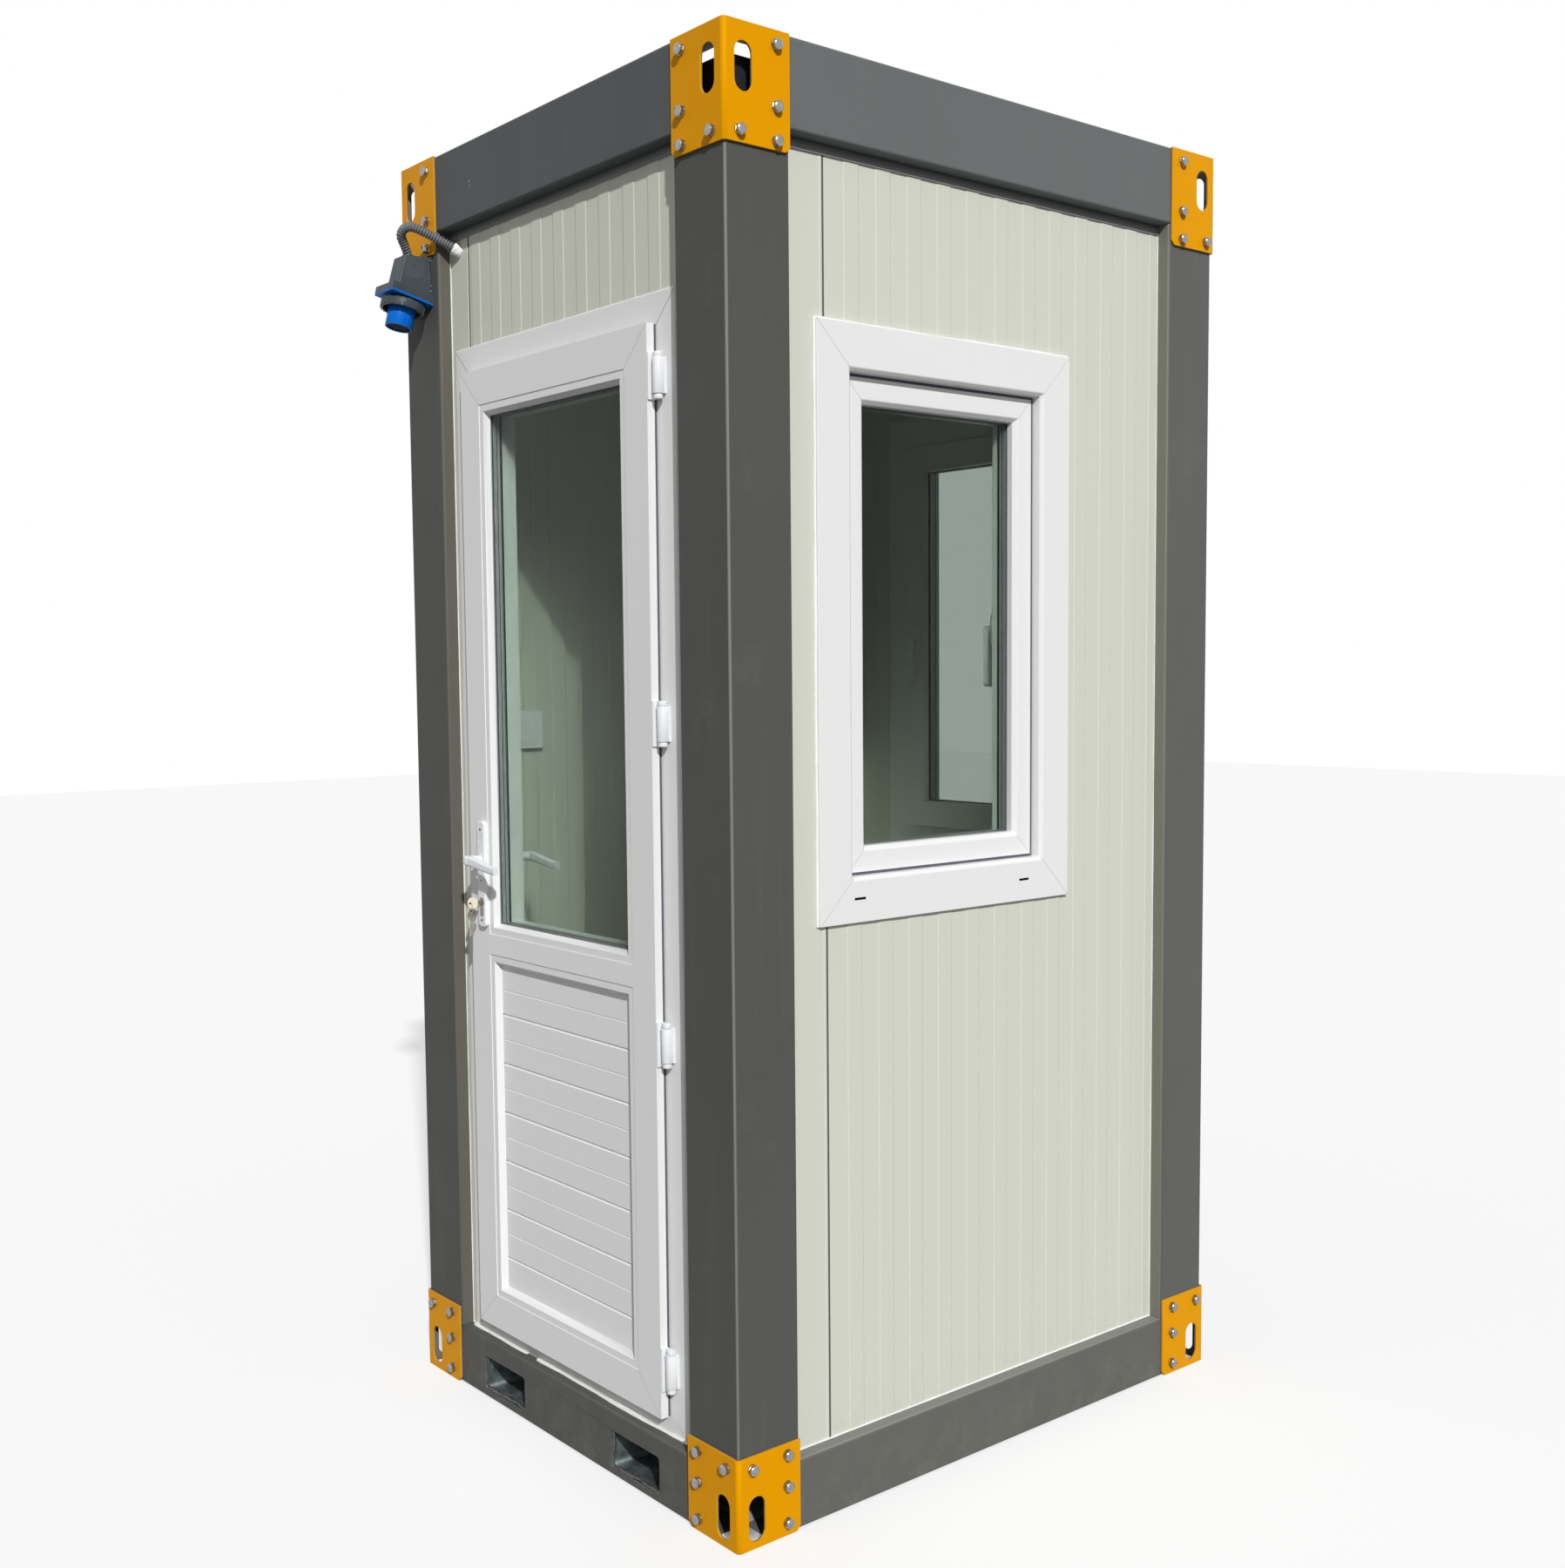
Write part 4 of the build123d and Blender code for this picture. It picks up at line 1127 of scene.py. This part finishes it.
def key():
    """Key in the lock, and a second one hanging from it on a wire ring."""
    middle = lock_x()
    lock_out = spans("lock_cylinder", front)[2][1]
    sideways = (1, 0, 0)
    bow = bmesh.new()
    add_key_bow(bow, Vector((middle, key_bow_y, lock_z)), sideways)
    finish_piece("key_bow", bow, key_cream, "door")

    steel = bmesh.new()
    stem_across = about(middle, key_stem_width)
    stem = (lock_out, -key_bow_y - wall_y - key_bow_radius + key_rim)
    add_block(steel, front, stem_across, about(lock_z, key_stem_height), stem)
    add_key_bow(steel, Vector((middle, spare_bow_y, spare_bow_z)), sideways)
    blade_up = (spare_blade_low, spare_bow_z - key_bow_radius + key_rim)
    blade = about(-spare_bow_y - wall_y, spare_blade_width)
    add_block(steel, front, about(middle, spare_blade_thickness), blade_up, blade)
    ring = []
    ring_middle = Vector((middle, key_bow_y - key_hole_shift / 2, (lock_z + spare_bow_z) / 2))
    ring_rise = (lock_z - spare_bow_z) / 2
    for number in range(24):
        angle = 2 * math.pi * number / 24
        offset = Vector((math.sin(angle) * ring_radius / 2, 0, math.cos(angle) * ring_rise))
        ring.append(ring_middle + offset)
    add_tube(steel, ring, [ring_wire] * len(ring), 8, closed=True)
    finish_piece("keys", steel, key_steel, "door")

    # Dark discs in the holes of the key bows and a dark bar in the keyway: painted shade
    holes = bmesh.new()
    for y, z in ((key_bow_y - key_hole_shift, lock_z), (spare_bow_y, spare_bow_z + key_hole_shift)):
        start = Vector((middle - key_bow_half - mitre_lift, y, z))
        depth = 2 * (key_bow_half + mitre_lift)
        add_lathe(holes, start, sideways, ((key_hole_radius, 0), (key_hole_radius, depth)), 16)
    slot_up = (lock_z - key_stem_height, lock_z + key_stem_height / 2)
    add_block(holes, front, stem_across, slot_up, (lock_out, lock_out + mitre_lift))
    finish_piece("key_holes", holes, painted_hollow_shade, "door")


def add_key_bow(shape, centre, axis):
    """Round key head with softened rims."""
    start = centre - Vector(axis) * key_bow_half
    add_lathe(shape, start, axis, (
        (key_bow_radius - key_rim, 0.0),
        (key_bow_radius, key_rim),
        (key_bow_radius, 2 * key_bow_half - key_rim),
        (key_bow_radius - key_rim, 2 * key_bow_half),
    ), 40)


def inlet_place(across, forward, along):
    """A point by its offsets from the axis of the inlet's shroud."""
    ahead = inlet_axis.cross(Vector((1, 0, 0))).normalized()
    return inlet_base + Vector((1, 0, 0)) * across + ahead * forward + inlet_axis * along


def inlet_fittings():
    """Grip of the collar, a dark lining of painted shade inside the shroud, its contacts and guide rib, and
    the mounting screws.
    """
    grips = bmesh.new()
    for number in range(grip_count):
        angle = 2 * math.pi * number / grip_count
        outward = (math.cos(angle), math.sin(angle))

        def place(side_step, along, rise, outward=outward):
            reach = collar_radius + rise
            across = outward[0] * reach - outward[1] * side_step
            forward = outward[1] * reach + outward[0] * side_step
            return inlet_place(across, forward, along)

        rise = (-grip_height, grip_height)
        add_block(grips, place, about(0, grip_width), (collar_low, collar_high), rise)
    finish_piece("collar_grips", grips, inlet_grey)

    # Dark lining over the shroud's inner wall and floor: painted shade inside the shroud
    shroud_shade = bmesh.new()
    bore = shroud_bore - shroud_gap
    add_lathe(shroud_shade, inlet_base, inlet_axis, (
        (bore, shroud_shade_end),
        (bore - shroud_gap, shroud_shade_end),
        (bore - shroud_gap, shroud_floor + 2 * shroud_gap),
        (shroud_gap, shroud_floor + 2 * shroud_gap),
        (shroud_gap, shroud_floor + shroud_gap),
        (bore, shroud_floor + shroud_gap),
    ), 40)
    finish_piece("shroud_painted_shade", shroud_shade, painted_hollow_shade)

    contacts = bmesh.new()
    for number in range(contact_count):
        angle = 2 * math.pi * number / contact_count
        across = contact_circle * math.cos(angle)
        forward = contact_circle * math.sin(angle)
        add_lathe(contacts, inlet_place(across, -forward, shroud_floor), inlet_axis, (
            (contact_radius, 0.0),
            (contact_radius, contact_end - shroud_floor - contact_radius / 2),
            (contact_radius * contact_tip_share, contact_end - shroud_floor),
        ), 16)
    finish_piece("inlet_contacts", contacts, zinc)

    rib = bmesh.new()

    def beside(across, along, rise):
        return inlet_place(shroud_radius + rise, across, along)

    add_block(rib, beside, about(0, guide_rib), (guide_low, shroud_end), (-shroud_gap, guide_rib))
    finish_piece("shroud_rib", rib, inlet_blue)

    screws = bmesh.new()
    for across, up in inlet_screws:
        add_lathe(screws, Vector((across, inlet_plate_y, up)), (0, -1, 0), (
            (inlet_screw_radius, 0.0),
            (inlet_screw_radius, inlet_screw_radius / 3),
            (inlet_screw_radius * inlet_screw_shares[0], inlet_screw_radius * inlet_screw_shares[1]),
        ), 16)
    finish_piece("inlet_screws", screws, zinc)


def conduit():
    """Corrugated conduit along a smooth curve, set in a lump of sealant at the wall."""
    curve = bpy.data.curves.new("conduit_line", "CURVE")
    curve.dimensions = "3D"
    curve.resolution_u = 24
    spline = curve.splines.new("NURBS")
    spline.points.add(len(conduit_route) - 1)
    for point, place in zip(spline.points, conduit_route):
        point.co = (*place, 1.0)
    spline.order_u = 3
    spline.use_endpoint_u = True
    guide = bpy.data.objects.new("conduit_line", curve)
    bpy.context.scene.collection.objects.link(guide)
    bpy.context.view_layer.update()
    line = bpy.data.meshes.new_from_object(guide)
    path = [vertex.co.copy() for vertex in line.vertices]
    bpy.data.objects.remove(guide)
    bpy.data.meshes.remove(line)
    lengths = [0.0]
    for before, after in zip(path, path[1:]):
        lengths.append(lengths[-1] + (after - before).length)
    ring_highlight = conduit_diameter / 2
    valley = ring_highlight * conduit_valley_share
    points = []
    radii = []
    count = int(lengths[-1] / conduit_pitch * conduit_steps)
    for number in range(count + 1):
        along = lengths[-1] * number / count
        index = max(i for i in range(len(lengths)) if lengths[i] <= along + rounding)
        index = min(index, len(path) - 2)
        share = (along - lengths[index]) / max(rounding, lengths[index + 1] - lengths[index])
        points.append(path[index].lerp(path[index + 1], share))
        wave = 0.5 + 0.5 * math.cos(2 * math.pi * along / conduit_pitch)
        radii.append(valley + (ring_highlight - valley) * min(1.0, wave * conduit_crest_share))
    shape = bmesh.new()
    add_tube(shape, points, radii, 20)
    tube = finish_piece("conduit_tube", shape, conduit_grey, sharp=ripple_angle)
    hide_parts("conduit")
    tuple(conduit_route[0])
    lump = bmesh.new()
    end = path[-1]
    back_along = (path[-1] - path[-lump_points]).normalized()
    first = back_along.orthogonal().normalized()
    second = back_along.cross(first)
    for turn in range(lump_rings):
        ring = []
        radii = []
        for number in range(16):
            angle = 2 * math.pi * number / 16
            radius = ring_highlight * random_source.uniform(*lump_spread_shares)
            offset = (first * math.cos(angle) + second * math.sin(angle)) * radius
            ring.append(end - back_along * (lump_start + lump_step * turn) + offset)
            radii.append(lump_bead * random_source.uniform(*lump_bead_shares))
        add_tube(lump, ring, radii, 8, closed=True)
    finish_piece("conduit_sealant", lump, silicone, sharp=soft_angle)


def dress_nodes():
    """Materials and softened edges on the solids that stay in view."""
    finishes = (
        ("post_front", post_paint, small_edge),
        ("post_back", back_post_paint, small_edge),
        ("top_beam_front top_beam_back", end_paint_with_painted_shade, small_edge),
        ("top_beam_left top_beam_right", side_paint, small_edge),
        ("base_beam_front base_beam_back", base_end_paint, small_edge),
        ("base_beam_left base_beam_right", base_side_paint, small_edge),
        ("top_brackets base_brackets", yellow, small_edge),
        ("fork_pockets", galvanised_sheet, tube_edge),
        ("floor", floor_covering, board_edge),
        ("roof_panel", roof_covering, board_edge),
        ("front_wall back_wall left_wall right_wall", sheet, 0),
        ("side_window_frame back_window_frame door_leaf", plastic, round_edge),
        ("side_window_sash back_window_sash", plastic, sash_edge),
        ("side_window_glass back_window_glass door_glass", glass, 0),
        ("door_jamb door_head door_threshold", plastic, jamb_edge),
        ("door_panel", plastic, plate_edge),
        ("window_handles", lacquer, round_edge),
        ("frame_hinges", lacquer, board_edge),
        ("leaf_hinges", lacquer, knuckle_edge),
        ("handle_plates", lacquer, plate_edge),
        ("lock_cylinder", nickel, plate_edge),
        ("outside_lever inside_lever light_switch", lacquer, small_edge),
        ("inlet_housing", inlet_grey, round_edge),
        ("inlet_gasket", inlet_blue, small_edge),
        ("inlet_collar", inlet_grey, collar_edge),
        ("inlet_shroud", inlet_blue, knuckle_edge),
    )
    for name, obj in nodes.items():
        for starts, material, softness in finishes:
            if not name.startswith(tuple(starts.split())):
                continue
            obj.data.materials.clear()
            obj.data.materials.append(material)
            if softness:
                soften(obj, softness)


def soften(obj, width):
    """Rounds a solid's edges so that they catch light."""
    weld = obj.modifiers.new("weld", "WELD")
    weld.merge_threshold = solid_merge_distance
    bevel = obj.modifiers.new("soft_edges", "BEVEL")
    bevel.width = width
    bevel.segments = 2
    bevel.limit_method = "ANGLE"
    bevel.angle_limit = math.radians(bevel_angle)
    bevel.harden_normals = True


def seen_by_eye(tree):
    """1 for rays from the eye, straight, mirrored or through glass, before they scatter."""
    path = tree.nodes.new("ShaderNodeLightPath").outputs
    total = path["Is Camera Ray"]
    for label in ("Is Glossy Ray", "Is Transmission Ray"):
        total = combine(tree, "MAXIMUM", total, path[label])
    unscattered = combine(tree, "LESS_THAN", path["Diffuse Depth"], 0.5)
    return combine(tree, "MULTIPLY", total, unscattered)


def stage():
    """Pale floor, sky and sun."""
    world = bpy.data.worlds.new("studio")
    bpy.context.scene.world = world
    world.use_nodes = True
    tree = world.node_tree
    background = tree.nodes["Background"]
    strength = tree.nodes.new("ShaderNodeMapRange")
    tree.links.new(seen_by_eye(tree), strength.inputs["Value"])
    strength.inputs["To Min"].default_value = sky_strength
    strength.inputs["To Max"].default_value = 1.0
    tree.links.new(strength.outputs["Result"], background.inputs["Strength"])
    background.inputs["Color"].default_value = (1.0, 1.0, 1.0, 1.0)

    mesh = bpy.data.meshes.new("ground")
    half = floor_size / 2
    corners = [(-half, -half, 0), (half, -half, 0), (half, half, 0), (-half, half, 0)]
    mesh.from_pydata(corners, [], [(0, 1, 2, 3)])
    ground = bpy.data.objects.new("ground", mesh)
    bpy.context.scene.collection.objects.link(ground)
    look = Look("ground", specular_ior_level=0.0)
    seen = seen_by_eye(look.tree)
    look.put("Base Color", look.span(seen, 0.0, 1.0, floor_shade, floor_seen))
    # No glow on the ground under the cabin, so that it shows darker there: painted shade of the cabin
    edge = look.sum("MAXIMUM", look.past("X", half_width), look.past("Y", half_depth))
    open_ground = look.span(edge, -floor_fade, 0.0)
    look.put("Emission Strength", look.sum("MULTIPLY", seen, look.sum("MULTIPLY", open_ground, floor_glow)))
    look.put("Emission Color", (1.0, 1.0, 1.0, 1.0))
    look.put("Roughness", 0.9)
    mesh.materials.append(look.material)

    lamp = bpy.data.lights.new("sun", "SUN")
    lamp.energy = sun_strength
    lamp.angle = math.radians(sun_angle)
    sun = bpy.data.objects.new("sun", lamp)
    sun.rotation_euler = sun_direction.to_track_quat("-Z", "Y").to_euler()
    bpy.context.scene.collection.objects.link(sun)


def camera():
    """The photograph's camera."""
    turn = Matrix.Rotation(math.radians(camera_yaw), 4, "Z")
    turn @= Matrix.Rotation(math.radians(90 + camera_pitch), 4, "X")
    turn @= Matrix.Rotation(math.radians(camera_roll), 4, "Z")
    data = bpy.data.cameras.new("camera")
    data.sensor_width = sensor_mm
    data.lens = focal_pixels / image_height * sensor_mm
    data.shift_x = (image_width / 2 - axis_pixel_x) / image_height
    data.shift_y = (axis_pixel_y - image_height / 2) / image_height
    data.clip_end = sight_range
    eye = bpy.data.objects.new("camera", data)
    eye.matrix_world = Matrix.Translation(camera_place) @ turn
    bpy.context.scene.collection.objects.link(eye)
    bpy.context.scene.camera = eye


dress_nodes()
wall_faces()
wall_sealant()
frame_sealant()
mitres()
glazing()
door_seal()
sash_seals()
window_slots()
fork_welds()
handle_screws()
key()
inlet_fittings()
bracket_bolts()
conduit()
stage()
camera()
bpy.context.scene.view_settings.view_transform = "Standard"
